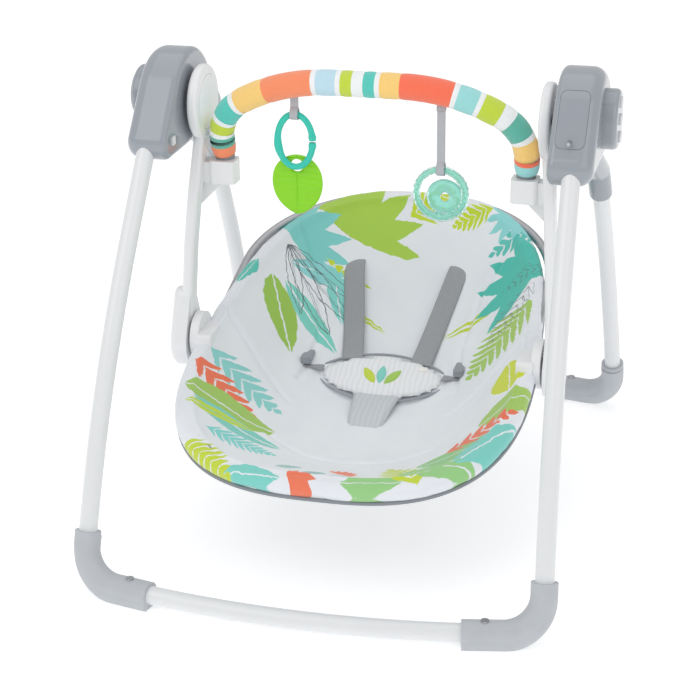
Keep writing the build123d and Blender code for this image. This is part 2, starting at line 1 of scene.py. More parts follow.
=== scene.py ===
"""Baby swing: the fabric, trim, finishes and stage round the fixed frame. Metres, +Z up, -Y the front."""

import json
import math

import bpy
import numpy as np
from bpy.props import FloatProperty, FloatVectorProperty, IntProperty
from bpy.types import Operator, Panel, PropertyGroup
from mathutils import Matrix, Vector
from mathutils.bvhtree import BVHTree


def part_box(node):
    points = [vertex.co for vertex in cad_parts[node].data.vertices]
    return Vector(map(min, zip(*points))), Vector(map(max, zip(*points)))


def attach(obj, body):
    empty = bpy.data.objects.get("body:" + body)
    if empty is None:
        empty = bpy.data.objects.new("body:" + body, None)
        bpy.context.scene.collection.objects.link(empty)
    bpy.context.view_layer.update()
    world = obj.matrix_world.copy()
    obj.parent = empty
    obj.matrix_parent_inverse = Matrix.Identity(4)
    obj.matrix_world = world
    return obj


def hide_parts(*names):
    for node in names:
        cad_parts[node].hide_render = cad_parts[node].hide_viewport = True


bl_info = {
    "name": "Baby swing dressing",
    "version": (1, 0, 0),
    "blender": (4, 5, 0),
    "location": "View3D > Sidebar > Baby swing",
    "description": "Makes the swing's padded seat, harness, toy bar and toys, and the finishes of its parts",
    "category": "Add Mesh",
}

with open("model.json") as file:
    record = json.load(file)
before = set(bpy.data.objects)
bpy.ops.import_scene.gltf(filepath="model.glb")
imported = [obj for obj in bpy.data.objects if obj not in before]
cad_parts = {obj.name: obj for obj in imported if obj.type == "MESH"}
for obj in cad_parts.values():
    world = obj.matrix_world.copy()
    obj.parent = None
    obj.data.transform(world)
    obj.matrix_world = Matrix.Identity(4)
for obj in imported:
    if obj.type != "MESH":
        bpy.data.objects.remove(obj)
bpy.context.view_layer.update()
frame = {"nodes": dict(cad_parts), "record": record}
MM = 0.001


# ---- colour and node helpers ---------------------------------------------

def linear(code):
    """A colour given as sRGB hex, as linear RGBA."""
    parts = [int(code[i:i + 2], 16) / 255 for i in (1, 3, 5)]
    return tuple(c / 12.92 if c <= 0.04045 else ((c + 0.055) / 1.055) ** 2.4 for c in parts) + (1.0,)


def add_node(tree, kind, inputs=None, **settings):
    """Adds a node; inputs maps a socket's name or number to a value or to the socket that feeds it."""
    made = tree.nodes.new("ShaderNode" + kind)
    for name, value in settings.items():
        setattr(made, name, value)
    for name, value in (inputs or {}).items():
        if isinstance(value, bpy.types.NodeSocket):
            tree.links.new(value, made.inputs[name])
        else:
            made.inputs[name].default_value = value
    return made


def new_material(name, **surface):
    """A material with a Principled shader; surface gives its constant sockets."""
    material = bpy.data.materials.new(name)
    material.use_nodes = True
    shader = material.node_tree.nodes["Principled BSDF"]
    for socket, value in surface.items():
        shader.inputs[socket.replace("_", " ")].default_value = value
    return material, material.node_tree, shader


def mottle(tree, shader, colour, size, amount=0.06):
    """Slight lightness variation over patches of the given size in metres."""
    place = add_node(tree, "TexCoord").outputs["Object"]
    noise = add_node(tree, "TexNoise", {"Vector": place, "Scale": 1 / size, "Detail": 4.0})
    dark = [c * (1 - amount) for c in colour[:3]] + [1.0]
    light = [min(1.0, c * (1 + amount)) for c in colour[:3]] + [1.0]
    mix = add_node(tree, "Mix", {0: noise.outputs["Fac"], 6: dark, 7: light}, data_type="RGBA")
    tree.links.new(mix.outputs[2], shader.inputs["Base Color"])
    return mix


def grain(tree, shader, size, depth, detail=3.0, vector=None):
    """Fine surface grain: bumps of the given size and depth in metres."""
    place = vector or add_node(tree, "TexCoord").outputs["Object"]
    noise = add_node(tree, "TexNoise", {"Vector": place, "Scale": 1 / size, "Detail": detail})
    bump = add_node(tree, "Bump", {"Height": noise.outputs["Fac"], "Distance": depth, "Strength": 1.0})
    tree.links.new(bump.outputs["Normal"], shader.inputs["Normal"])
    return bump


def weave(tree, shader, vector, spacing, depth):
    """Crossed threads on a vector in metres, over soft creasing."""
    threads = []
    for direction in ("X", "Y"):
        wave = add_node(
            tree, "TexWave", {"Vector": vector, "Scale": 0.314 / spacing, "Distortion": 0.6},
            bands_direction=direction,
        )
        threads.append(wave.outputs["Fac"])
    both = add_node(tree, "Math", {0: threads[0], 1: threads[1]}, operation="MULTIPLY")
    cloth = add_node(tree, "Bump", {"Height": both.outputs[0], "Distance": depth, "Strength": 1.0})
    crease = add_node(tree, "TexNoise", {"Vector": vector, "Scale": 22.0, "Detail": 3.0, "Distortion": 0.8})
    bump = add_node(
        tree, "Bump",
        {"Height": crease.outputs["Fac"], "Distance": 0.0022, "Strength": 0.6,
         "Normal": cloth.outputs["Normal"]},
    )
    tree.links.new(bump.outputs["Normal"], shader.inputs["Normal"])


# ---- hard finishes -------------------------------------------------------

def powder_coated_steel():
    """White powder coat on steel tube: satin, with a faint orange peel."""
    material, tree, shader = new_material(
        "powder_coated_steel_white", Roughness=0.3, IOR=1.5, Coat_Weight=0.25, Coat_Roughness=0.12)
    mottle(tree, shader, linear("#e4e6e8"), 0.05, 0.02)
    grain(tree, shader, 0.0016, 0.00003)
    return material


def moulded_polypropylene(name, code, rough=0.26):
    """Moulded polypropylene: soft gloss with a very fine tool texture."""
    material, tree, shader = new_material(name, Roughness=rough, IOR=1.49)
    mottle(tree, shader, linear(code), 0.04, 0.025)
    grain(tree, shader, 0.0012, 0.00002)
    return material


def polished_abs():
    """Grey ABS from a polished mould: clear reflections on a mid grey."""
    material, tree, shader = new_material(
        "polished_abs_grey", Roughness=0.18, IOR=1.54, Coat_Weight=0.35, Coat_Roughness=0.06)
    mottle(tree, shader, linear("#999fa7"), 0.06, 0.03)
    grain(tree, shader, 0.009, 0.00003, 1.0)
    return material


def moulded_rubber():
    """Thermoplastic rubber boots: matte, with a fine spark-eroded grain and scuffs."""
    material, tree, shader = new_material("moulded_rubber_grey", Roughness=0.55, IOR=1.52)
    mottle(tree, shader, linear("#bbbfc4"), 0.02, 0.06)
    grain(tree, shader, 0.0009, 0.00008)
    return material


def turned_steel():
    """Zinc-plated turned steel: bright, with fine rings from the tool."""
    material, tree, shader = new_material("zinc_plated_turned_steel", Metallic=1.0, Roughness=0.32)
    mottle(tree, shader, linear("#b4b5b8"), 0.008, 0.08)
    place = add_node(tree, "TexCoord").outputs["Object"]
    rings = add_node(tree, "TexWave", {"Vector": place, "Scale": 900.0, "Distortion": 1.0})
    bump = add_node(tree, "Bump", {"Height": rings.outputs["Fac"], "Distance": 0.00003, "Strength": 1.0})
    tree.links.new(bump.outputs["Normal"], shader.inputs["Normal"])
    return material


def etched_board():
    """Epoxy-glass circuit board: green lacquer over a fine weave."""
    material, tree, shader = new_material("epoxy_glass_board", Roughness=0.35, IOR=1.55)
    mottle(tree, shader, linear("#1f6b41"), 0.004, 0.2)
    grain(tree, shader, 0.0006, 0.00004)
    return material


def printed_wrap():
    """Shrink-wrapped cell or speaker cone: dark, slightly glossy film."""
    material, tree, shader = new_material("shrink_film_dark", Roughness=0.3, IOR=1.5)
    mottle(tree, shader, linear("#26282c"), 0.01, 0.15)
    grain(tree, shader, 0.003, 0.00003)
    return material


# ---- fabric finishes -----------------------------------------------------

def woven_polyester(name, code, spacing=0.0012, rough=0.78):
    """Plain woven polyester; threads drawn at 1.2 mm, coarser than the real 0.4 mm, so that they show."""
    material, tree, shader = new_material(
        name, Roughness=rough, IOR=1.5, Sheen_Weight=0.25, Sheen_Roughness=0.5)
    mottle(tree, shader, linear(code), 0.012, 0.05)
    weave(tree, shader, add_node(tree, "TexCoord").outputs["Object"], spacing, 0.00012)
    return material


def satin_polyester(name, code):
    """Silver-grey satin polyester of the bib: glossier folds and a faint zigzag figure."""
    material, tree, shader = new_material(
        name, Roughness=0.42, IOR=1.5, Sheen_Weight=0.4, Sheen_Roughness=0.35)
    place = add_node(tree, "TexCoord").outputs["Object"]
    zigzag = add_node(
        tree, "TexWave", {"Vector": place, "Scale": 46.0, "Distortion": 3.0, "Detail": 2.0},
        wave_profile="TRI",
    )
    base = linear(code)
    dark = [c * 0.90 for c in base[:3]] + [1.0]
    mix = add_node(tree, "Mix", {0: zigzag.outputs["Fac"], 6: dark, 7: base}, data_type="RGBA")
    tree.links.new(mix.outputs[2], shader.inputs["Base Color"])
    weave(tree, shader, place, 0.0011, 0.00009)
    return material


def ribbed_webbing(name, code):
    """Polyester webbing: close cross ribs 1.6 mm apart, matte."""
    material, tree, shader = new_material(name, Roughness=0.7, IOR=1.5, Sheen_Weight=0.2)
    mottle(tree, shader, linear(code), 0.006, 0.07)
    length = add_node(tree, "Attribute", attribute_name="run").outputs["Vector"]
    ribs = add_node(tree, "TexWave", {"Vector": length, "Scale": 0.314 / 0.0016, "Distortion": 0.4})
    bump = add_node(tree, "Bump", {"Height": ribs.outputs["Fac"], "Distance": 0.0003, "Strength": 1.0})
    tree.links.new(bump.outputs["Normal"], shader.inputs["Normal"])
    return material


def dyed_jersey(name, code):
    """Brushed jersey of the toy bar's sleeve: soft, matte, with a short nap."""
    material, tree, shader = new_material(
        "brushed_jersey_" + name, Roughness=0.85, IOR=1.46, Sheen_Weight=0.35, Sheen_Roughness=0.6)
    mottle(tree, shader, linear(code), 0.004, 0.05)
    grain(tree, shader, 0.0007, 0.00022)
    return material


LEAF_KINDS = ("plain", "feather", "fan")
EDGE = 90.0                   # how sharply a printed edge ends, per leaf length


def leaf_figure(kind):
    """Node group that draws one printed leaf of unit length along X: 1 inside it and 0 outside."""
    group = bpy.data.node_groups.new("leaf_" + kind, "ShaderNodeTree")
    group.interface.new_socket("Place", in_out="INPUT", socket_type="NodeSocketVector")
    group.interface.new_socket("Width", in_out="INPUT", socket_type="NodeSocketFloat")
    group.interface.new_socket("Count", in_out="INPUT", socket_type="NodeSocketFloat")
    group.interface.new_socket("Mask", in_out="OUTPUT", socket_type="NodeSocketFloat")
    start = group.nodes.new("NodeGroupInput")
    end = group.nodes.new("NodeGroupOutput")
    split = add_node(group, "SeparateXYZ", {0: start.outputs["Place"]})

    def calc(operation, *values):
        """One step of arithmetic."""
        step = add_node(group, "Math", dict(enumerate(values)), operation=operation)
        return step.outputs[0]

    x, y = split.outputs[0], calc("ABSOLUTE", split.outputs[1])
    width, count = start.outputs["Width"], start.outputs["Count"]
    inside = calc("MULTIPLY", calc("GREATER_THAN", x, 0.0), calc("LESS_THAN", x, 1.0))
    arch = calc("SINE", calc("MULTIPLY", calc("POWER", calc("MAXIMUM", x, 0.0), 0.85), math.pi))
    half = calc("MULTIPLY", calc("POWER", calc("MAXIMUM", arch, 0.0), 0.8), width)
    if kind == "plain":
        body = calc("MULTIPLY", calc("SUBTRACT", half, y), EDGE)
        rib = calc("MULTIPLY", calc("SUBTRACT", y, 0.007), EDGE * 2)
        mask = calc("MULTIPLY", calc("MINIMUM", calc("MAXIMUM", body, 0.0), 1.0),
                    calc("MINIMUM", calc("MAXIMUM", rib, 0.0), 1.0))
    elif kind == "feather":
        slant = calc("MULTIPLY", calc("SUBTRACT", x, calc("MULTIPLY", y, 0.7)), count)
        offset = calc("ABSOLUTE", calc("SUBTRACT", calc("FRACT", slant), 0.5))
        reach = calc("DIVIDE", y, calc("MAXIMUM", half, 0.001))
        leaflet = calc("SUBTRACT", 0.46, calc("MULTIPLY", calc("POWER", reach, 3.0), 0.46))
        blade = calc("MULTIPLY", calc("SUBTRACT", leaflet, offset), 12.0)
        stem = calc("MULTIPLY", calc("SUBTRACT", 0.012, y), EDGE)
        mask = calc("MINIMUM", calc("MAXIMUM", calc("MAXIMUM", blade, stem), 0.0), 1.0)
    else:
        radius = calc("SQRT", calc("ADD", calc("MULTIPLY", x, x), calc("MULTIPLY", y, y)))
        angle = calc("MULTIPLY", calc("ARCTAN2", split.outputs[1], x), count)
        offset = calc("ABSOLUTE", calc("SUBTRACT", calc("FRACT", calc("ADD", angle, 0.5)), 0.5))
        wide = calc("MULTIPLY", calc("SINE", calc("MULTIPLY", calc("MINIMUM", radius, 1.0), math.pi)), width)
        arc = calc("DIVIDE", calc("MULTIPLY", offset, radius), count)
        blade = calc("MULTIPLY", calc("SUBTRACT", wide, arc), EDGE)
        front = calc("GREATER_THAN", x, calc("MULTIPLY", y, 0.12))
        inside = calc("MULTIPLY", front, calc("LESS_THAN", radius, 1.0))
        mask = calc("MINIMUM", calc("MAXIMUM", blade, 0.0), 1.0)
    group.links.new(calc("MULTIPLY", mask, inside), end.inputs["Mask"])
    return group


# Printed leaves: kind, colour, base across and along the seat in mm, heading in degrees, length in mm,
# half width as a share of the length, and how many leaflets.
PRINT = [
    ("fan", "#a9cf4a", -90, 226, 70, 106, 0.17, 2.2),
    ("feather", "#c3d82b", -10, 268, 38, 92, 0.40, 9),
    ("feather", "#c3d82b", 105, 280, 205, 60, 0.36, 7),
    ("fan", "#7fd0cc", -166, 190, 46, 90, 0.14, 2.4),
    ("plain", "#8fd6d6", -150, 150, 12, 92, 0.16, 0),
    ("plain", "#7fd3c6", -150, 118, -38, 104, 0.15, 0),
    ("plain", "#9bc54f", -166, 112, -64, 100, 0.20, 0),
    ("plain", "#55c5b5", -186, 120, -104, 58, 0.18, 0),
    ("plain", "#86d5cf", -100, 176, -70, 82, 0.16, 0),
    ("feather", "#c8da2e", -110, 182, -18, 70, 0.10, 6),
    ("plain", "#c3d636", -66, 128, -28, 66, 0.06, 0),
    ("plain", "#c3d636", 60, 90, 18, 150, 0.05, 0),
    ("fan", "#45c0b0", 198, 140, 150, 96, 0.17, 2.3),
    ("feather", "#58c3b8", 176, 226, 200, 70, 0.32, 6),
    ("fan", "#8ed8d8", 150, 262, 235, 52, 0.18, 2.2),
    ("feather", "#a5cb5d", 192, 74, 222, 104, 0.42, 9),
    ("plain", "#d0dc2c", 190, -96, 100, 66, 0.34, 0),
    ("feather", "#8cd3cf", -196, -72, -14, 96, 0.30, 7),
    ("feather", "#f0744e", -206, -104, -20, 88, 0.30, 6),
    ("plain", "#a2c95f", -204, -152, 4, 108, 0.24, 0),
    ("plain", "#7fd0c6", -188, -168, -8, 112, 0.15, 0),
    ("plain", "#c3dc3a", -196, -182, 14, 84, 0.10, 0),
    ("feather", "#7dd6d2", -160, -212, 2, 84, 0.26, 10),
    ("plain", "#9cc4c0", -62, -258, 30, 34, 0.26, 0),
    ("plain", "#8fb8b8", -26, -270, 8, 30, 0.28, 0),
    ("fan", "#f07a58", 16, -262, 60, 24, 0.22, 2.6),
    ("plain", "#9cc4c0", 8, -276, -10, 32, 0.24, 0),
    ("feather", "#c6d93a", 118, -292, 124, 96, 0.34, 7),
    ("plain", "#98cf86", 84, -250, -4, 100, 0.25, 0),
    ("plain", "#8cc983", 98, -218, 18, 100, 0.25, 0),
    ("plain", "#7ed3c9", 150, -246, 50, 100, 0.26, 0),
    ("plain", "#a6cc62", 160, -146, 30, 84, 0.28, 0),
    ("feather", "#ee7454", 126, -184, 24, 92, 0.24, 6),
    ("plain", "#98cf86", 30, -304, 10, 72, 0.22, 0),
    ("plain", "#7ed3c9", -116, -300, -4, 76, 0.20, 0),
    ("feather", "#c6d93a", -176, -256, -34, 90, 0.30, 8),
    ("fan", "#f07a58", -34, -300, 20, 36, 0.20, 2.6),
]

# Fine outlined leaves, laid out in the same way.
OUTLINES = [
    ("plain", -158, 172, -34, 118, 0.12, 0),
    ("plain", -158, 172, -52, 122, 0.12, 0),
    ("plain", -158, 172, -18, 104, 0.11, 0),
    ("plain", -158, 172, -68, 96, 0.10, 0),
    ("feather", 188, 112, 232, 84, 0.26, 8),
    ("feather", 200, 150, 200, 60, 0.24, 7),
]


def leaf_mask(tree, groups, place, kind, x, y, heading, length, width, count):
    """One printed leaf's mask, from print coordinates in millimetres."""
    local = add_node(
        tree, "Mapping",
        {"Vector": place, "Location": (x, y, 0), "Rotation": (0, 0, math.radians(heading)),
         "Scale": (length, length, 1)},
        vector_type="TEXTURE",
    )
    figure = add_node(tree, "Group", node_tree=groups[kind])
    tree.links.new(local.outputs[0], figure.inputs["Place"])
    figure.inputs["Width"].default_value = width
    figure.inputs["Count"].default_value = count
    return figure.outputs["Mask"]


def printed_polyester():
    """Seat fabric: pale grey-white woven polyester with screen-printed leaves, and soft creasing."""
    material, tree, shader = new_material(
        "printed_woven_polyester", Roughness=0.72, IOR=1.5, Sheen_Weight=0.25, Sheen_Roughness=0.5)
    groups = {kind: leaf_figure(kind) for kind in LEAF_KINDS}
    place = add_node(tree, "Attribute", attribute_name="print").outputs["Vector"]
    ragged = add_node(tree, "TexNoise", {"Vector": place, "Scale": 0.12, "Detail": 2.0})
    wander = add_node(tree, "VectorMath", {0: ragged.outputs["Color"], 1: (-0.5, -0.5, -0.5)})
    wander = add_node(tree, "VectorMath", {0: wander.outputs[0], "Scale": 5.0}, operation="SCALE")
    drawn = add_node(tree, "VectorMath", {0: place, 1: wander.outputs[0]}).outputs[0]
    cloud = add_node(tree, "TexNoise", {"Vector": place, "Scale": 0.02, "Detail": 3.0})
    ground = add_node(
        tree, "Mix", {0: cloud.outputs["Fac"], 6: linear("#e3e7ee"), 7: linear("#eef1f5")}, data_type="RGBA"
    )
    colour = ground.outputs[2]
    for kind, code, *layout in PRINT:
        mask = leaf_mask(tree, groups, drawn, kind, *layout)
        mix = add_node(tree, "Mix", {0: mask, 6: colour, 7: linear(code)}, data_type="RGBA")
        colour = mix.outputs[2]
    for kind, *layout in OUTLINES:
        mask = leaf_mask(tree, groups, drawn, kind, *layout)
        away = add_node(tree, "Math", {0: mask, 1: 0.5}, operation="SUBTRACT")
        away = add_node(tree, "Math", {0: away.outputs[0]}, operation="ABSOLUTE")
        line = add_node(tree, "Math", {0: away.outputs[0], 1: 0.42}, operation="LESS_THAN")
        mix = add_node(tree, "Mix", {0: line.outputs[0], 6: colour, 7: linear("#5a5f68")}, data_type="RGBA")
        colour = mix.outputs[2]
    tree.links.new(colour, shader.inputs["Base Color"])
    metres = add_node(tree, "VectorMath", {0: place, "Scale": MM}, operation="SCALE").outputs[0]
    weave(tree, shader, metres, 0.0012, 0.0001)
    return material


# ---- toys' finishes ------------------------------------------------------

def moulded_silicone(name, code, rough):
    """Moulded silicone or soft plastic: saturated, with a slight glow through thin edges."""
    material, tree, shader = new_material(
        name, Roughness=rough, IOR=1.45, Subsurface_Weight=0.12, Subsurface_Radius=(0.003, 0.004, 0.002))
    mottle(tree, shader, linear(code), 0.01, 0.03)
    grain(tree, shader, 0.0015, 0.00003)
    return material


def filled_teether():
    """Gel-filled translucent plastic: clear mint with a soft inner cloud."""
    material, tree, shader = new_material(
        "gel_filled_plastic_mint", Roughness=0.12, IOR=1.45, Transmission_Weight=0.62)
    mottle(tree, shader, linear("#a5e9da"), 0.006, 0.14)
    grain(tree, shader, 0.003, 0.0003, 2.0)
    return material


# ---- mesh helpers --------------------------------------------------------

def make_object(name, points, faces, materials=()):
    """A smooth-shaded mesh object from points and faces."""
    mesh = bpy.data.meshes.new(name)
    mesh.from_pydata([tuple(p) for p in points], [], faces)
    mesh.validate()
    mesh.shade_smooth()
    made = bpy.data.objects.new(name, mesh)
    bpy.context.scene.collection.objects.link(made)
    for material in materials:
        mesh.materials.append(material)
    return made


def lattice_faces(rows, columns, closed_rows=False, closed_columns=True):
    """Quads over a lattice of rows by columns of points."""
    faces = []
    for i in range(rows if closed_rows else rows - 1):
        for j in range(columns if closed_columns else columns - 1):
            a, b = i * columns, ((i + 1) % rows) * columns
            k = (j + 1) % columns
            faces.append((a + j, a + k, b + k, b + j))
    return faces


def capped_faces(rows, columns):
    """Faces of a stack of closed rings, with its first and last rings filled."""
    faces = lattice_faces(rows, columns)
    faces.append(tuple(range(columns))[::-1])
    faces.append(tuple(range((rows - 1) * columns, rows * columns)))
    return faces


def frames_along(points, reference, closed=False, across=False):
    """Tangent, side and top along a line; the reference is near the top, or is the side if across."""
    if closed:
        tangent = np.roll(points, -1, 0) - np.roll(points, 1, 0)
    else:
        tangent = np.gradient(points, axis=0)
    tangent /= np.linalg.norm(tangent, axis=1)[:, None]
    if across:
        side = np.repeat(reference[None], len(points), 0)
        return tangent, side, np.cross(side, tangent)
    side = np.cross(tangent, reference)
    side /= np.linalg.norm(side, axis=1)[:, None]
    return tangent, side, np.cross(side, tangent)


def sweep_section(name, points, section, reference, materials=(), closed=False, across=False):
    """Sweeps a closed flat section (side, top) along points; section may hold one outline for each point."""
    points = np.asarray(points, float)
    _, side, top = frames_along(points, np.asarray(reference, float), closed, across)
    section = np.asarray(section, float)
    if section.ndim == 2:
        section = np.repeat(section[None], len(points), 0)
    rings = points[:, None] + section[..., :1] * side[:, None] + section[..., 1:] * top[:, None]
    count = section.shape[1]
    faces = lattice_faces(len(points), count, closed)
    if not closed:
        faces.append(tuple(range(count)))
        faces.append(tuple(reversed(range((len(points) - 1) * count, len(points) * count))))
    made = make_object(name, rings.reshape(-1, 3), faces, materials)
    lengths = np.r_[0, np.cumsum(np.linalg.norm(np.diff(points, axis=0), axis=1))]
    run = made.data.attributes.new("run", "FLOAT_VECTOR", "POINT")
    values = np.zeros((len(points), count, 3))
    values[..., 0] = lengths[:, None]
    values[..., 1] = section[..., 0]
    run.data.foreach_set("vector", values.ravel())
    return made


def round_section(radius, count=20):
    """A circle as section points."""
    angles = np.linspace(0, 2 * math.pi, count, endpoint=False)
    return np.stack([radius * np.cos(angles), radius * np.sin(angles)], 1)


def flat_section(width, thick, count=9):
    """A webbing's section: flat faces with rounded, slightly thicker edges."""
    across = np.linspace(-1, 1, count)
    swell = thick / 2 * (1 + 0.25 * np.abs(across) ** 6) * np.sqrt(np.maximum(1 - np.abs(across) ** 14, 0.02))
    upper = np.stack([across * width / 2, swell], 1)
    return np.concatenate([upper, (upper * (1, -1))[::-1]])


def smooth_line(corners, steps=40):
    """A smooth line through given corners, by a quadratic or cubic Bezier."""
    corners = np.asarray(corners, float)
    share = np.linspace(0, 1, steps)[:, None]
    degree = len(corners) - 1
    return sum(
        math.comb(degree, i) * share ** i * (1 - share) ** (degree - i) * corners[i]
        for i in range(degree + 1)
    )


def coordinates(mesh):
    """A mesh's points as an array."""
    points = np.zeros(len(mesh.vertices) * 3)
    mesh.vertices.foreach_get("co", points)
    return points.reshape(-1, 3)


def set_coordinates(mesh, points):
    """Writes points back into a mesh."""
    mesh.vertices.foreach_set("co", np.asarray(points).ravel())
    mesh.update()


def baked(piece):
    """The piece's mesh with its modifiers applied, and no modifiers left."""
    graph = bpy.context.evaluated_depsgraph_get()
    mesh = bpy.data.meshes.new_from_object(piece.evaluated_get(graph))
    piece.modifiers.clear()
    piece.data = mesh
    mesh.shade_smooth()


def swell(piece, voxel, pressure, cap, frames=20):
    """Stuffs a closed shell: even remesh, cloth under pressure, movement capped, then one subdivision."""
    remesh = piece.modifiers.new("Even mesh", "REMESH")
    remesh.mode = "VOXEL"
    remesh.voxel_size = voxel
    baked(piece)
    before = coordinates(piece.data)
    cloth = piece.modifiers.new("Stuffing", "CLOTH")
    cloth.settings.use_pressure = True
    cloth.settings.uniform_pressure_force = pressure
    cloth.settings.effector_weights.gravity = 0.0
    cloth.point_cache.frame_start = 1
    cloth.point_cache.frame_end = frames
    for number in range(1, frames + 1):
        bpy.context.scene.frame_set(number)
    baked(piece)
    bpy.context.scene.frame_set(1)
    move = coordinates(piece.data) - before
    length = np.linalg.norm(move, axis=1)[:, None]
    set_coordinates(piece.data, before + move * np.minimum(1, cap / np.maximum(length, 1e-9)))
    piece.modifiers.new("Fine", "SUBSURF").levels = 1
    baked(piece)


def distance_to_line(points, line):
    """Shortest flat distance from each point to a line of points."""
    best = np.full(len(points), 1e9)
    for a, b in zip(line[:-1], line[1:]):
        edge = b - a
        share = np.clip(((points - a) @ edge) / (edge @ edge), 0, 1)
        best = np.minimum(best, np.linalg.norm(points - a - share[:, None] * edge, axis=1))
    return best


# ---- sizes that a user would change --------------------------------------

def length_property(name, text, value):
    """A length in metres with its name, description and default."""
    return FloatProperty(name=name, description=text, default=value, unit="LENGTH", precision=4)


class SWING_PG_seat(PropertyGroup):
    """Sizes of the padded seat."""

    roll: length_property("Rim roll", "Radius of the padded roll over the rim tube", 0.0125)
    floor_y: length_property("Floor middle", "Where the middle of the bowl's floor is along Y", -0.048)
    floor_z: length_property("Floor height", "Height of the bowl's floor", 0.114)
    floor_half_width: length_property("Floor half width", "Half the width of the floor", 0.104)
    floor_half_length: length_property("Floor half length", "Half the length of the floor", 0.112)
    thickness: length_property("Thickness", "Padding and fabric together", 0.0105)
    voxel: length_property("Mesh spacing", "Spacing of the even mesh that is stuffed", 0.0055)
    cap: length_property("Swell", "The most that stuffing may move the fabric", 0.0036)
    seam_depth: length_property("Seam depth", "How deep the sewn seams pull in", 0.0035)
    squareness: FloatProperty(name="Squareness", description="Exponent of the rim's outline",
                              default=2.8, min=2.0)
    egg: FloatProperty(name="Egg", description="How much narrower the rim is at the head end", default=0.11)
    pressure: FloatProperty(name="Pressure", description="Stuffing pressure in the cloth simulation",
                            default=4.0)


class SWING_PG_harness(PropertyGroup):
    """Sizes of the harness."""

    strap_width: length_property("Strap width", "Width of the shoulder webbing", 0.028)
    strap_thick: length_property("Strap thickness", "Thickness of the webbing", 0.0022)
    pad_half_width: length_property("Pad half width", "Half the width of the bib pad", 0.087)
    pad_half_height: length_property("Pad half height", "Half the height of the bib pad", 0.039)
    pad_thick: length_property("Pad thickness", "Thickness of the bib pad at its middle", 0.010)
    pad_tilt: FloatProperty(name="Pad tilt", description="Slope of the bib pad", default=math.radians(24),
                            subtype="ANGLE")


class SWING_PG_toys(PropertyGroup):
    """Sizes of the toy bar and the toys."""

    bar_radius: length_property("Sleeve radius", "Radius of the sleeve in the middle of the arch", 0.0158)
    bar_lean: FloatProperty(name="Arch lean", description="How far the arch leans forward",
                            default=math.radians(15.7), subtype="ANGLE")
    seam_pinch: length_property("Seam pinch", "How far a sewn stripe edge pulls in", 0.0006)
    link_wire: length_property("Link wire", "Width of the link's wire from the front", 0.008)
    link_deep: length_property("Link depth", "Width of the wire from front to back", 0.005)
    ribbon_width: length_property("Ribbon width", "Width of the ribbons", 0.010)
    ribbon_thick: length_property("Ribbon thickness", "Thickness of one layer of ribbon", 0.0009)
    leaf_thick: length_property("Leaf thickness", "Thickness of the leaf at its middle", 0.0052)
    teether_wire: length_property("Teether wire", "Radius of the teething ring's section", 0.0054)
    gel_bumps: IntProperty(name="Gel bumps", description="Bumps round the teething ring", default=14, min=3)


class SWING_PG_stage(PropertyGroup):
    """The camera and the light."""

    azimuth: FloatProperty(name="Azimuth", description="Camera's turn to the right",
                           default=math.radians(14.3), subtype="ANGLE")
    elevation: FloatProperty(name="Elevation", description="Camera's height angle",
                             default=math.radians(22.5), subtype="ANGLE")
    roll: FloatProperty(name="Roll", description="Camera's roll", default=math.radians(-0.6), subtype="ANGLE")
    distance: length_property("Distance", "Camera to target", 2.39)
    lens: FloatProperty(name="Lens", description="Focal length in millimetres", default=95.9)
    target: FloatVectorProperty(name="Target", description="What the camera looks at",
                                default=(-0.032, 0.0, 0.1945), unit="LENGTH")


# ---- seat ----------------------------------------------------------------

class RimPlane:
    """The seat's rim plane, worked out from the two rim tubes."""

    TUBE_R = 0.006

    def __init__(self):
        front_low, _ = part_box("seat_front_tube")
        _, back_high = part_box("seat_back_tube")
        rise = back_high.z - front_low.z - 2 * self.TUBE_R
        run = back_high.y - front_low.y - 2 * self.TUBE_R
        self.tilt = math.atan2(rise, run)
        self.centre = np.array([0, (front_low.y + back_high.y) / 2, (front_low.z + back_high.z) / 2])
        self.half_width = back_high.x - self.TUBE_R
        self.half_length = math.hypot(rise, run) / 2
        self.along = np.array([0, math.cos(self.tilt), math.sin(self.tilt)])
        self.normal = np.array([0, -math.sin(self.tilt), math.cos(self.tilt)])

    def flat(self, points):
        """Across and up-slope coordinates of points, in metres."""
        offset = points - self.centre
        return np.stack([offset[:, 0], offset @ self.along], 1)


def rim_outline(plane, seat, count):
    """Centre line of the rim, egg-shaped and slightly square, and its outward directions."""
    turn = np.linspace(0, 2 * math.pi, count, endpoint=False)
    power = 2 / seat.squareness
    across = np.sign(np.cos(turn)) * np.abs(np.cos(turn)) ** power
    up = np.sign(np.sin(turn)) * np.abs(np.sin(turn)) ** power
    across = across * (1 - seat.egg * up)
    flat = np.stack([plane.half_width * across, plane.half_length * up], 1)
    # even spacing round the outline keeps the mesh regular
    ring = np.vstack([flat, flat[:1]])
    length = np.r_[0, np.cumsum(np.linalg.norm(np.diff(ring, axis=0), axis=1))]
    even = np.linspace(0, length[-1], count, endpoint=False)
    flat = np.stack([np.interp(even, length, ring[:, k]) for k in (0, 1)], 1)
    tangent = np.roll(flat, -1, 0) - np.roll(flat, 1, 0)
    tangent /= np.linalg.norm(tangent, axis=1)[:, None]
    outward = np.stack([tangent[:, 1], -tangent[:, 0]], 1)
    spread = flat[:, :1] * np.array([[1.0, 0, 0]]) + flat[:, 1:] * plane.along
    out = outward[:, :1] * np.array([[1.0, 0, 0]]) + outward[:, 1:] * plane.along
    return plane.centre + spread, out


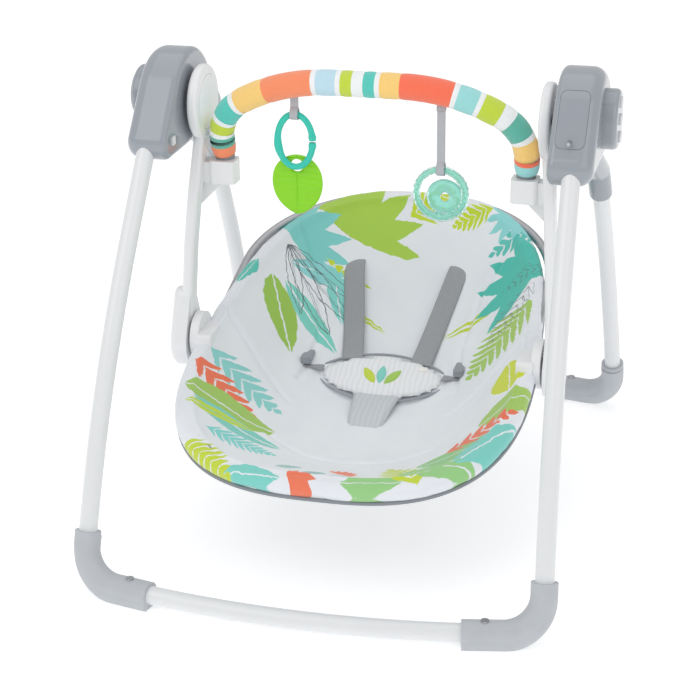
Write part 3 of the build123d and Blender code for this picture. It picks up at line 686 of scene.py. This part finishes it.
def floor_outline(seat, toward, drop, grow):
    """Points of the bowl's floor outline in the directions of the rim points."""
    centre = np.array([0, seat.floor_y, seat.floor_z - drop])
    flat = toward - centre
    a, b = seat.floor_half_width + grow, seat.floor_half_length + grow
    size = ((np.abs(flat[:, 0]) / a) ** 2.6 + (np.abs(flat[:, 1]) / b) ** 2.6) ** (1 / 2.6)
    points = centre + flat * (1 / size)[:, None] * (1, 1, 0)
    points[:, 2] = centre[2] + (points[:, 1] - centre[1]) * math.tan(math.radians(3))
    return centre, points


def bowl_rings(plane, seat, count=200, steps=26):
    """Rings of points from the middle of the floor, up the wall, over the rim and down outside."""
    rim, out = rim_outline(plane, seat, count)
    rings = []
    inner_edge = rim - out * seat.roll
    centre, floor = floor_outline(seat, inner_edge, 0, 0)
    for share in np.linspace(0.02, 1, steps):
        rings.append(bowl_wall(centre, floor, inner_edge, share))
    inner_count = len(rings)
    for angle in np.linspace(math.pi, -0.5 * math.pi, 14)[1:-1]:
        rings.append(rim + out * seat.roll * math.cos(angle) + plane.normal * seat.roll * math.sin(angle))
    outer_edge = rim - plane.normal * seat.roll
    centre, floor = floor_outline(seat, outer_edge, seat.thickness, seat.thickness)
    for share in np.linspace(1, 0.02, steps):
        rings.append(bowl_wall(centre, floor, outer_edge, share))
    return np.array(rings), inner_count


def bowl_wall(centre, floor, edge, share):
    """One ring of the bowl: level over the floor, then a rounded turn up the wall."""
    turn_start = centre + (floor - centre) * 0.45
    turn_end = floor + (edge - floor) * 0.5
    if share < 0.25:
        return centre + (turn_start - centre) * (share / 0.25)
    if share < 0.7:
        t = (share - 0.25) / 0.45
        return turn_start * (1 - t) ** 2 + floor * 2 * t * (1 - t) + turn_end * t * t
    t = (share - 0.7) / 0.3
    return turn_end + (edge - turn_end) * t


def mirrored(line):
    """The same line on the other side of the seat."""
    return [(-x, y) for x, y in line]


# Sewn seams, across and along the seat in metres: wing edge beside the back rest, side seam, leg edge.
WING_SEAM = [(-0.150, 0.215), (-0.112, 0.150), (-0.096, 0.070), (-0.104, -0.010)]
SIDE_SEAM = [(-0.205, 0.010), (-0.150, -0.030), (-0.104, -0.062)]
LAP_SEAM = [(-0.105, -0.150), (-0.050, -0.185), (0.0, -0.196), (0.050, -0.185), (0.105, -0.150)]


class SWING_OT_seat_cover(Operator):
    """Makes the padded seat: a stuffed fabric bowl rolled over the rim tube, sewn and printed."""

    bl_idname = "swing.seat_cover"
    bl_label = "Seat cover"

    def execute(self, context):
        seat = context.scene.swing_seat
        plane = RimPlane()
        rings, inner_count = bowl_rings(plane, seat)
        rows, columns = rings.shape[:2]
        faces = capped_faces(rows, columns)
        source = rings.reshape(-1, 3)
        # the print ends near the bottom of the rim's roll
        split = (inner_count + 11) * columns
        corners = [Vector(p) for p in source]
        trees = [BVHTree.FromPolygons(corners, part) for part in (faces[:split], faces[split:-2])]
        cover = make_object("seat_cover_fabric", source, faces, [printed_polyester(), woven_polyester(
            "backing_polyester_grey", "#9a9fa6")])
        swell(cover, seat.voxel, seat.pressure, seat.cap)
        self.sew(cover, plane, seat)
        self.clear_brackets(cover)
        self.sort_fabrics(cover, plane, trees)
        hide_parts("seat_cover")
        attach(cover, "seat")
        self.pipe(plane, seat)
        return {"FINISHED"}

    def sew(self, cover, plane, seat):
        """Pulls the fabric in along its seams, between soft quilted swells."""
        mesh = cover.data
        points = coordinates(mesh)
        normals = np.array([v.normal for v in mesh.vertices])
        flat = plane.flat(points)
        up_facing = np.clip(normals @ plane.normal * 2, 0, 1)
        depth = np.zeros(len(points))
        for line in (WING_SEAM, mirrored(WING_SEAM), SIDE_SEAM, mirrored(SIDE_SEAM), LAP_SEAM):
            near = distance_to_line(flat, np.array(line))
            depth += np.exp(-(near / 0.0035) ** 2) * seat.seam_depth - np.exp(-(near / 0.014) ** 2) * 0.0012
        set_coordinates(mesh, points - normals * (depth * up_facing)[:, None])

    def clear_brackets(self, cover):
        """Keeps the fabric inside the swing arms' brackets."""
        points = coordinates(cover.data)
        low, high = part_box("right_seat_bracket")
        limit = low.x - 0.003
        beside = (points[:, 1] > low.y - 0.02) & (points[:, 1] < high.y + 0.02)
        points[:, 0] = np.where(beside, np.clip(points[:, 0], -limit, limit), points[:, 0])
        set_coordinates(cover.data, points)

    WRONG_WAY = 0.03          # added to the distance of a sheet that faces away from the fabric

    def sort_fabrics(self, cover, plane, trees):
        """Print inside and over the rim, plain backing below, and the print's coordinates in mm."""
        mesh = cover.data
        points = coordinates(mesh)
        flat = plane.flat(points) / MM
        drawn = mesh.attributes.new("print", "FLOAT_VECTOR", "POINT")
        drawn.data.foreach_set("vector", np.c_[flat, np.zeros(len(flat))].ravel())
        # the sheet's face nearest the origin is its floor, which faces up
        _, up, _, _ = trees[0].find_nearest(Vector((0, 0, 0)))
        facing = 1 if up.z > 0 else -1
        for face in mesh.polygons:
            scores = []
            for sheet in trees:
                _, normal, _, distance = sheet.find_nearest(face.center)
                turned = normal.dot(face.normal) * facing < 0
                scores.append(distance + (self.WRONG_WAY if turned else 0))
            face.material_index = int(scores[1] < scores[0])

    def pipe(self, plane, seat):
        """A thin bound edge where the print meets the backing."""
        rim, out = rim_outline(plane, seat, 240)
        reach, angle = seat.roll + 0.0030, math.radians(-62)
        line = rim + out * reach * math.cos(angle) + plane.normal * reach * math.sin(angle)
        edge = sweep_section(
            "seat_edge_binding", line, round_section(0.0026, 12), plane.normal,
            [woven_polyester("binding_tape_grey", "#8b9097", 0.001)], closed=True,
        )
        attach(edge, "seat")


# ---- harness -------------------------------------------------------------

def pad_directions(tilt):
    """Up-slope and outward directions of the bib pad."""
    return np.array([0, math.cos(tilt), math.sin(tilt)]), np.array([0, -math.sin(tilt), math.cos(tilt)])


def bib_outline(harness, count):
    """Outline of the bib: pointed ends, a flatter top edge and a full lower edge."""
    turn = np.linspace(0, 2 * math.pi, count, endpoint=False)
    across = harness.pad_half_width * np.cos(turn)
    up = np.sin(turn) * harness.pad_half_height * (1 - 0.10 * np.cos(2 * turn))
    up = np.where(up > 0, up * 0.92, up)
    return np.stack([across, up], 1)


class SWING_OT_harness_pad(Operator):
    """Makes the quilted bib pad with its piping, its leaf motif and a blank tag."""

    bl_idname = "swing.harness_pad"
    bl_label = "Bib pad"

    def execute(self, context):
        harness = context.scene.swing_harness
        low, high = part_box("harness_pad")
        slope, normal = pad_directions(harness.pad_tilt)
        middle = np.array([(low.x + high.x) / 2, (low.y + high.y) / 2, (low.z + high.z) / 2])
        self.place = (middle, slope, normal)
        outline = bib_outline(harness, 96)
        rings = []
        for share in np.linspace(0.05, 1, 14):
            rings.append(self.lift(outline * share, self.crown(share, harness)))
        for share in np.linspace(1, 0.05, 14)[1:]:
            rings.append(self.lift(outline * share, -self.crown(share, harness) * 0.55))
        rows = np.array(rings)
        faces = capped_faces(*rows.shape[:2])
        pad = make_object("bib_pad_fabric", rows.reshape(-1, 3), faces,
                          [satin_polyester("satin_polyester_silver", "#eff0f4")])
        swell(pad, 0.0035, 3.0, 0.002)
        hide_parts("harness_pad")
        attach(pad, "seat")
        line = self.lift(outline * 1.005, 0.0004)
        piping = sweep_section("bib_piping", line, round_section(0.0016, 10), normal,
                               [ribbed_webbing("bib_piping_grey", "#a3a8b0")], closed=True)
        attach(piping, "seat")
        self.motif(harness)
        return {"FINISHED"}

    def crown(self, share, harness):
        """Height of the pad's upper face at a share of the way out."""
        return harness.pad_thick * 0.5 * math.sqrt(max(0.0, 1 - share ** 2.4))

    def lift(self, flat, height):
        """Flat pad coordinates as points in space."""
        middle, slope, normal = self.place
        return middle + flat[:, :1] * np.array([[1.0, 0, 0]]) + flat[:, 1:] * slope + normal * height

    def motif(self, harness):
        """Three appliqué leaves and a blank sewn tag on the bib."""
        leaves = [(-0.016, 125, "#c7d93b"), (0.0, 90, "#7fd3c6"), (0.016, 55, "#a4cc58")]
        for number, (offset, heading, code) in enumerate(leaves):
            share = np.linspace(0, 1, 16)
            wide = 0.0062 * np.sin(math.pi * share) ** 0.8
            upper = np.stack([share * 0.032, wide], 1)
            edge = np.concatenate([upper, (upper * (1, -1))[::-1]])
            turn = math.radians(heading)
            spin = np.array([[math.cos(turn), math.sin(turn)], [-math.sin(turn), math.cos(turn)]])
            flat = edge @ spin + (offset * 0.4, -0.018)
            self.patch(f"bib_leaf_{number + 1}", flat, harness, dyed_jersey(f"leaf_{number + 1}", code))
        tag = np.array([(-0.006, -0.0045), (0.006, -0.0045), (0.006, 0.0045), (-0.006, 0.0045)])
        self.patch("bib_tag", tag + (0.052, 0.014), harness, dyed_jersey("tag", "#f4f1ee"))

    def patch(self, name, flat, harness, material):
        """A thin appliqué that follows the pad's crown."""
        centre = flat.mean(0)
        rings = []
        for share, extra in ((0.0, 0.0011), (0.5, 0.0011), (0.92, 0.0010), (1.0, 0.0002), (1.0, -0.0015)):
            ring = centre + (flat - centre) * max(share, 0.02)
            reach = np.hypot(ring[:, 0] / harness.pad_half_width, ring[:, 1] / harness.pad_half_height)
            height = np.array([self.crown(min(float(r), 1.0), harness) for r in reach]) + extra + 0.0018
            rings.append(np.array([self.lift(p[None], h)[0] for p, h in zip(ring, height)]))
        rows = np.array(rings)
        faces = capped_faces(*rows.shape[:2])
        made = make_object(name, rows.reshape(-1, 3), faces, [material])
        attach(made, "seat")


class SWING_OT_harness_straps(Operator):
    """Makes the shoulder straps, the waist straps and the crotch piece."""

    bl_idname = "swing.harness_straps"
    bl_label = "Harness straps"

    def execute(self, context):
        harness = context.scene.swing_harness
        webbing = ribbed_webbing("polyester_webbing_grey", "#a0a2a6")
        low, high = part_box("shoulder_straps")
        normal = np.array([0, -0.6, 0.8])
        section = flat_section(harness.strap_width, harness.strap_thick)
        parts = []
        for side, label in ((1, "right"), (-1, "left")):
            line = smooth_line([
                (side * 0.046, low.y - 0.012, low.z - 0.006),
                (side * 0.052, low.y + 0.025, low.z + 0.012),
                (side * 0.062, low.y + 0.070, low.z + 0.046),
                (side * 0.071, high.y - 0.012, high.z - 0.014),
                (side * 0.073, high.y + 0.010, high.z - 0.010),
            ])
            strap = sweep_section(f"{label}_shoulder_strap", line, section, normal, [webbing])
            parts.append(strap)
        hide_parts("shoulder_straps")
        low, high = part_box("waist_straps")
        section = flat_section(0.025, harness.strap_thick)
        for side, label in ((1, "right"), (-1, "left")):
            line = smooth_line([
                (side * 0.080, low.y + 0.0145, low.z + 0.002),
                (side * 0.096, low.y + 0.014, low.z + 0.006),
                (side * (high.x + 0.002), low.y + 0.012, high.z - 0.001),
                (side * (high.x + 0.014), low.y + 0.011, high.z + 0.004),
            ], 24)
            parts.append(sweep_section(f"{label}_waist_strap", line, section, (0, 0, 1), [webbing]))
        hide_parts("waist_straps")
        low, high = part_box("crotch_strap")
        line = smooth_line([
            (0, high.y + 0.012, high.z + 0.004), (0, high.y - 0.012, high.z + 0.003),
            (0, (low.y + high.y) / 2, low.z + 0.008), (0, low.y + 0.004, low.z + 0.001),
            (0, low.y - 0.008, low.z - 0.004),
        ], 30)
        width = np.linspace(0.062, 0.044, 30)
        sections = np.array([flat_section(w, 0.005) for w in width])
        crotch = sweep_section("crotch_piece", line, sections, (0, 0, 1),
                               [satin_polyester("satin_polyester_grey", "#cdd1d7")])
        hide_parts("crotch_strap")
        for part in parts:
            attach(part, "seat")
        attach(crotch, "seat")
        return {"FINISHED"}


# ---- toy bar and toys ----------------------------------------------------

# Widths in millimetres that the sleeve's panels are cut to, and the panels from the left end.
NARROW, SHORT, MEDIUM, BROAD, LONG = 6, 14, 24, 40, 62
STRIPES = [
    (SHORT, "coral"), (SHORT, "deep_teal"), (NARROW, "white"), (SHORT, "lime"), (NARROW, "white"),
    (MEDIUM, "teal"), (NARROW, "white"), (BROAD, "amber"), (LONG, "coral"), (NARROW, "white"),
    (MEDIUM, "sky"), (NARROW, "white"), (SHORT, "lime"), (SHORT, "white"), (SHORT, "teal"),
    (NARROW, "white"), (MEDIUM, "amber"), (LONG, "red_orange"), (NARROW, "white"), (MEDIUM, "aqua"),
    (NARROW, "white"), (MEDIUM, "lime"), (SHORT, "white"), (MEDIUM, "deep_teal"), (NARROW, "white"),
    (MEDIUM, "amber"), (NARROW, "red_orange"), (SHORT, "aqua"),
]
DYES = {
    "coral": "#fb8f63", "deep_teal": "#5cb7a5", "white": "#f1f4f5", "lime": "#c5da3c", "teal": "#52cabd",
    "amber": "#fdd078", "sky": "#bfdfee", "red_orange": "#fc7150", "aqua": "#9bdcdb",
}


def fillet_line(corners, radii, steps=14):
    """Straight runs joined by tangent arcs, in a plane."""
    corners = [np.array(c, float) for c in corners]
    points = [corners[0]]
    for before, corner, after, radius in zip(corners, corners[1:], corners[2:], radii):
        u = (before - corner) / np.linalg.norm(before - corner)
        v = (after - corner) / np.linalg.norm(after - corner)
        half = math.acos(float(np.clip(u @ v, -1, 1))) / 2
        middle = corner + (u + v) / np.linalg.norm(u + v) * radius / math.sin(half)
        start, stop = [corner + w * radius / math.tan(half) - middle for w in (u, v)]
        first = math.atan2(start[1], start[0])
        turn = (math.atan2(stop[1], stop[0]) - first + math.pi) % (2 * math.pi) - math.pi
        for share in np.linspace(0, 1, steps):
            angle = first + turn * share
            points.append(middle + radius * np.array([math.cos(angle), math.sin(angle)]))
    return np.array(points + [corners[-1]])


class SWING_OT_toy_bar(Operator):
    """Makes the toy bar's striped sleeve: dyed jersey panels sewn end to end."""

    bl_idname = "swing.toy_bar"
    bl_label = "Toy bar sleeve"

    def execute(self, context):
        toys = context.scene.swing_toys
        low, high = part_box("toy_bar_tube")
        foot = high.x - 0.008
        rise = (high.z - 0.008 * math.cos(toys.bar_lean) - low.z) / math.cos(toys.bar_lean)
        half = [(foot, 0), (foot + 0.002, 0.058), (0.102, rise)]
        shape = [(-x, z) for x, z in half] + half[::-1]
        flat = fillet_line(shape, [0.064, 0.230, 0.230, 0.064])
        length = np.r_[0, np.cumsum(np.linalg.norm(np.diff(flat, axis=0), axis=1))]
        stops = np.r_[0, np.cumsum([width for width, _ in STRIPES])] / sum(width for width, _ in STRIPES)
        shares = []
        for first, last in zip(stops, stops[1:]):
            count = max(3, int((last - first) * 90))
            inner = np.linspace(first, last, count, endpoint=False)
            shares += list(inner) + [last - 0.0012]
        shares = np.array(sorted(set(shares + [1.0])))
        flat = np.stack([np.interp(shares * length[-1], length, flat[:, k]) for k in (0, 1)], 1)
        lean = toys.bar_lean
        socket_y = (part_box("right_ferrule")[0].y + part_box("right_ferrule")[1].y) / 2
        across, up = flat.T
        points = np.stack([across, socket_y - up * math.sin(lean), low.z + up * math.cos(lean)], 1)
        edge = np.min(np.abs(shares[:, None] - stops[None]), 1) * length[-1]
        radius = toys.bar_radius - toys.seam_pinch * np.exp(-(edge / 0.0018) ** 2)
        close = np.minimum(shares, 1 - shares) * length[-1]
        radius = radius * (0.90 + 0.10 * np.clip(close / 0.012, 0, 1))
        sections = radius[:, None, None] * round_section(1.0, 32)[None]
        dyes = sorted(set(colour for _, colour in STRIPES))
        leaning = (0, -math.sin(lean), math.cos(lean))
        sleeve = sweep_section("toy_bar_sleeve_fabric", points, sections, leaning,
                               [dyed_jersey(dye, DYES[dye]) for dye in dyes])
        middles = (shares[:-1] + shares[1:]) / 2
        for number, middle in enumerate(middles):
            dye = next(colour for end, (_, colour) in zip(stops[1:], STRIPES) if middle <= end)
            for face in sleeve.data.polygons[number * 32:(number + 1) * 32]:
                face.material_index = dyes.index(dye)
        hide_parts("toy_bar_sleeve")
        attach(sleeve, "toy_bar")
        return {"FINISHED"}


class SWING_OT_ribbons(Operator):
    """Makes the two woven ribbons that carry the toys, each folded into a loop round its toy."""

    bl_idname = "swing.ribbons"
    bl_label = "Ribbons"

    def execute(self, context):
        toys = context.scene.swing_toys
        cloth = woven_polyester("grosgrain_ribbon_grey", "#b4b7bd", 0.0011)
        _, link_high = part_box("toy_link")
        _, ring_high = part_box("toy_teether")
        for label, body, loop_z, reach in (
            ("left", "toy_bar", link_high.z - toys.link_wire / 2, 0.0064),
            ("right", "teether", ring_high.z - toys.teether_wire, 0.0072),
        ):
            low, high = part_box(f"{label}_ribbon")
            middle = ((low.x + high.x) / 2, (low.y + high.y) / 2, loop_z)
            ribbon = self.looped(f"{label}_ribbon_woven", middle, high.z - 0.0006, reach, toys, cloth)
            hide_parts(f"{label}_ribbon")
            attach(ribbon, body)
        self.tab(middle[0], middle[1], high.z, toys, cloth)
        return {"FINISHED"}

    def looped(self, name, middle, top, reach, toys, cloth):
        """Two layers of ribbon from the top down to a drop-shaped loop."""
        x, y, z = middle
        apart = toys.ribbon_thick * 0.55
        turn = np.linspace(0.23, 2 * math.pi - 0.23, 44)
        loop_y = y - reach * np.sin(turn) * np.sqrt(np.sin(turn / 2))
        loop_z = z + reach * (0.2 + 1.2 * np.cos(turn))
        down = np.linspace(top, loop_z[0] + 0.001, 12)
        line_y = np.r_[np.full(12, y - apart), loop_y, np.full(12, y + apart)]
        line_z = np.r_[down, loop_z, down[::-1]]
        line = np.stack([np.full(len(line_y), x), line_y, line_z], 1)
        section = flat_section(toys.ribbon_width, toys.ribbon_thick)
        return sweep_section(name, line, section, (1, 0, 0), [cloth], across=True)

    def tab(self, x, y, top, toys, cloth):
        """The short folded tab under the sleeve that the right-hand ribbon swings in."""
        line = smooth_line([
            (x, y - 0.0022, top - 0.004), (x, y - 0.0022, top + 0.004), (x, y, top + 0.007),
            (x, y + 0.0022, top + 0.004), (x, y + 0.0022, top - 0.004),
        ], 24)
        section = flat_section(toys.ribbon_width * 1.1, toys.ribbon_thick)
        piece = sweep_section("right_ribbon_tab", line, section, (1, 0, 0), [cloth], across=True)
        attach(piece, "toy_bar")


class SWING_OT_link(Operator):
    """Makes the oval plastic link with its swelled sides and snap gap."""

    bl_idname = "swing.link"
    bl_label = "Link"

    def execute(self, context):
        wire = context.scene.swing_toys.link_wire
        deep = context.scene.swing_toys.link_deep
        low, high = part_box("toy_link")
        middle = (low + high) / 2
        half_x = (high.x - low.x - wire) / 2
        half_z = (high.z - low.z - wire) / 2
        gap = math.radians(2)
        turn = np.linspace(gap, 2 * math.pi - gap, 120)
        line = np.stack([middle.x + half_x * np.cos(turn), np.full(120, middle.y),
                         middle.z + half_z * np.sin(turn)], 1)
        beads = np.exp(-((turn - 0.16) / 0.10) ** 2) + np.exp(-((2 * math.pi - turn - 0.16) / 0.10) ** 2)
        bulge = np.exp(-((turn - math.pi * 1.08) / 0.32) ** 2)
        swelling = 1 + 0.26 * beads + 0.30 * bulge
        sections = swelling[:, None, None] * round_section(0.5, 20)[None] * (wire, deep)
        link = sweep_section("link_plastic", line, sections, (0, 1, 0),
                             [moulded_silicone("moulded_polypropylene_teal", "#35c9b4", 0.25)])
        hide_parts("toy_link")
        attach(link, "link")
        return {"FINISHED"}


class SWING_OT_leaf(Operator):
    """Makes the soft lime leaf with its rounded edge, midrib and veins."""

    bl_idname = "swing.leaf"
    bl_label = "Leaf"

    def execute(self, context):
        thick = context.scene.swing_toys.leaf_thick
        low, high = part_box("toy_leaf")
        link_low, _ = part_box("toy_link")
        middle_x = (low.x + high.x) / 2
        middle_y = (low.y + high.y) / 2
        hole = np.array([0.0, link_low.z + context.scene.swing_toys.link_wire / 2])
        hole_r = 0.0078
        height = high.z - low.z
        half = (high.x - low.x) / 2
        turn = np.linspace(0, 2 * math.pi, 128, endpoint=False)
        tip = np.where(np.sin(turn) < 0, 0.32 * np.abs(np.sin(turn)) ** 5, 0)
        outline = np.stack([half * np.cos(turn) * (1 - tip) * (1 + 0.10 * np.sin(turn)) / 1.01,
                            (low.z + high.z) / 2 + height / 2 * np.sin(turn)], 1)
        ring = hole + hole_r * np.stack([np.cos(turn), np.sin(turn)], 1)
        shares = np.r_[0, 0.05, np.linspace(0.1, 0.9, 22), 0.95, 0.98, 1.0]
        rings = []
        for side in (-1, 1):
            order = shares if side < 0 else shares[::-1]
            for share in order:
                flat = ring + (outline - ring) * share
                edge = math.sqrt(max(0.0, 1 - abs(2 * share - 1) ** 9))
                puff = thick / 2 * edge
                vein = self.veins(flat, thick) if side < 0 else 0
                depth = side * (puff - vein * edge)
                face_y = middle_y + depth * np.ones(128)
                rings.append(np.stack([flat[:, 0] + middle_x, face_y, flat[:, 1]], 1))
        rows = np.array(rings)
        faces = lattice_faces(*rows.shape[:2], closed_rows=True)
        leaf = make_object("leaf_silicone", rows.reshape(-1, 3), faces,
                           [moulded_silicone("moulded_silicone_lime", "#8fdb20", 0.35)])
        leaf.modifiers.new("Fine", "SUBSURF").levels = 1
        baked(leaf)
        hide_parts("toy_leaf")
        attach(leaf, "leaf")
        return {"FINISHED"}

    def veins(self, flat, thick):
        """Depth of the grooves on the leaf's face: a midrib and close cross veins."""
        rib = np.exp(-(flat[:, 0] / 0.0009) ** 2)
        across = np.abs(np.sin((flat[:, 1] + np.abs(flat[:, 0]) * 0.10) * math.pi / 0.0075)) ** 10
        return thick * (0.26 * rib + 0.20 * across)


class SWING_OT_teether(Operator):
    """Makes the translucent teething ring: a bumped hoop round an off-centre rippled disc."""

    bl_idname = "swing.teether"
    bl_label = "Teething ring"

    def execute(self, context):
        toys = context.scene.swing_toys
        low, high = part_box("toy_teether")
        middle = (low + high) / 2
        wire = toys.teether_wire
        hoop_r = (high.x - low.x) / 2 - wire
        gel = filled_teether()
        turn = np.linspace(0, 2 * math.pi, 180, endpoint=False)
        line = np.stack([middle.x + hoop_r * np.cos(turn), np.full(180, middle.y),
                         middle.z + hoop_r * np.sin(turn)], 1)
        heavy = 0.10 * np.cos(turn + 0.8)
        radius = wire * (0.86 + heavy + 0.10 * np.cos(turn * toys.gel_bumps) ** 2)
        sections = radius[:, None, None] * round_section(1.0, 20)[None]
        hoop = sweep_section("teether_hoop", line, sections, (0, 1, 0), [gel], closed=True)
        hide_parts("toy_teether")
        centre = np.array([middle.x + 0.005, middle.y, middle.z - 0.004])
        outer, inner = 0.0225, 0.0052
        rings = []
        for share in np.linspace(0, 1, 40, endpoint=False):
            angle = share * 2 * math.pi
            mid, half = (outer + inner) / 2, (outer - inner) / 2
            reach = mid + half * math.cos(angle)
            wave = 1 + 0.16 * math.cos(reach / 0.0028)
            lift = 0.0036 * math.sin(angle) * wave * (1 + 0.06 * np.cos(turn * 9))
            rings.append(np.stack([centre[0] + reach * np.cos(turn), centre[1] + lift,
                                   centre[2] + reach * np.sin(turn)], 1))
        rows = np.array(rings)
        faces = lattice_faces(*rows.shape[:2], closed_rows=True)
        disc = make_object("teether_disc", rows.reshape(-1, 3), faces, [gel])
        for part in (hoop, disc):
            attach(part, "teether")
        return {"FINISHED"}


# ---- finishes of the CAD parts -------------------------------------------

class SWING_OT_finishes(Operator):
    """Gives every carried-over part its finish, by what it is made of."""

    bl_idname = "swing.finishes"
    bl_label = "Finishes"

    def execute(self, context):
        white = moulded_polypropylene("moulded_polypropylene_white", "#ebecee")
        finishes = {
            "tube_white": powder_coated_steel(),
            "arm_white": white,
            "hub_grey": polished_abs(),
            "boot_grey": moulded_rubber(),
            "button_light": moulded_polypropylene("moulded_polypropylene_pale", "#e4e6e9", 0.35),
            "button_grey": moulded_polypropylene("moulded_polypropylene_grey", "#8f959c", 0.35),
            "webbing_grey": ribbed_webbing("webbing_grey", "#a0a2a6"),
            "steel": turned_steel(),
            "bush_natural": moulded_polypropylene("moulded_nylon_natural", "#e9e6dc", 0.4),
            "board_green": etched_board(),
            "cell_wrap": printed_wrap(),
        }
        slots = {row["node"]: row["material_slot"] for row in frame["record"]["subparts"]}
        for name, part in frame["nodes"].items():
            finish = finishes.get(slots[name])
            if finish is None:
                continue
            part.data.materials.clear()
            part.data.materials.append(finish)
        return {"FINISHED"}


# ---- stage ---------------------------------------------------------------

class SWING_OT_stage(Operator):
    """Makes the camera, the pale floor and the soft studio light."""

    bl_idname = "swing.stage"
    bl_label = "Stage"

    def execute(self, context):
        stage = context.scene.swing_stage
        self.camera(context, stage)
        self.floor()
        self.lights(context)
        context.scene.view_settings.view_transform = "Standard"
        return {"FINISHED"}

    def camera(self, context, stage):
        a, e, r = stage.azimuth, stage.elevation, stage.roll
        back = Vector((math.sin(a) * math.cos(e), -math.cos(a) * math.cos(e), math.sin(e)))
        right = Vector((math.cos(a), math.sin(a), 0))
        up = back.cross(right)
        level, tall = math.cos(r) * right + math.sin(r) * up, math.cos(r) * up - math.sin(r) * right
        data = bpy.data.cameras.new("camera")
        data.lens = stage.lens
        data.sensor_width = 36
        camera = bpy.data.objects.new("camera", data)
        turn = Matrix((level, tall, back)).transposed().to_4x4()
        camera.matrix_world = Matrix.Translation(Vector(stage.target) + back * stage.distance) @ turn
        context.scene.collection.objects.link(camera)
        context.scene.camera = camera

    def floor(self):
        size = 14.0
        floor = make_object("floor", [(-size, -size, 0), (size, -size, 0), (size, size, 0), (-size, size, 0)],
                            [(0, 1, 2, 3)])
        # a light table: its own glow keeps the contact shadows pale
        material, tree, shader = new_material(
            "studio_floor", Roughness=0.7, Emission_Strength=0.45, Emission_Color=(1, 1, 1, 1))
        mottle(tree, shader, linear("#e8e8e8"), 2.0, 0.005)
        floor.data.materials.append(material)

    def lights(self, context):
        world = bpy.data.worlds.new("studio")
        world.use_nodes = True
        world.node_tree.nodes["Background"].inputs["Color"].default_value = (1, 1, 1, 1)
        world.node_tree.nodes["Background"].inputs["Strength"].default_value = 0.64
        context.scene.world = world
        for name, place, size, power in (
            ("key", (-1.4, -1.8, 2.6), 2.2, 20.0),
            ("fill", (2.0, -1.2, 1.8), 2.0, 8.0),
            ("top", (0.0, 0.6, 3.0), 2.8, 13.0),
        ):
            data = bpy.data.lights.new(name, "AREA")
            data.size = size
            data.energy = power
            lamp = bpy.data.objects.new(name, data)
            lamp.location = place
            aim = Vector((0, 0, 0.25)) - Vector(place)
            lamp.rotation_euler = aim.to_track_quat("-Z", "Y").to_euler()
            context.scene.collection.objects.link(lamp)


OPERATORS = (
    SWING_OT_stage, SWING_OT_finishes, SWING_OT_seat_cover, SWING_OT_harness_pad, SWING_OT_harness_straps,
    SWING_OT_toy_bar, SWING_OT_ribbons, SWING_OT_link, SWING_OT_leaf, SWING_OT_teether,
)
SETTINGS = {
    "swing_seat": SWING_PG_seat, "swing_harness": SWING_PG_harness, "swing_toys": SWING_PG_toys,
    "swing_stage": SWING_PG_stage,
}


class SWING_PT_panel(Panel):
    """Lists the swing's pieces in the sidebar."""

    bl_idname = "SWING_PT_panel"
    bl_label = "Baby swing"
    bl_space_type = "VIEW_3D"
    bl_region_type = "UI"
    bl_category = "Baby swing"

    def draw(self, context):
        for operator in OPERATORS:
            self.layout.operator(operator.bl_idname)


def register():
    """Adds the settings, the operators and the panel."""
    for name, group in SETTINGS.items():
        bpy.utils.register_class(group)
        setattr(bpy.types.Scene, name, bpy.props.PointerProperty(type=group))
    for operator in OPERATORS:
        bpy.utils.register_class(operator)
    bpy.utils.register_class(SWING_PT_panel)


def unregister():
    """Takes them away again."""
    bpy.utils.unregister_class(SWING_PT_panel)
    for operator in reversed(OPERATORS):
        bpy.utils.unregister_class(operator)
    for name, group in reversed(SETTINGS.items()):
        delattr(bpy.types.Scene, name)
        bpy.utils.unregister_class(group)


def main():
    """Makes every piece in order."""
    register()
    for operator in OPERATORS:
        getattr(bpy.ops.swing, operator.bl_idname.split(".")[1])()


if __name__ == "__main__":
    main()
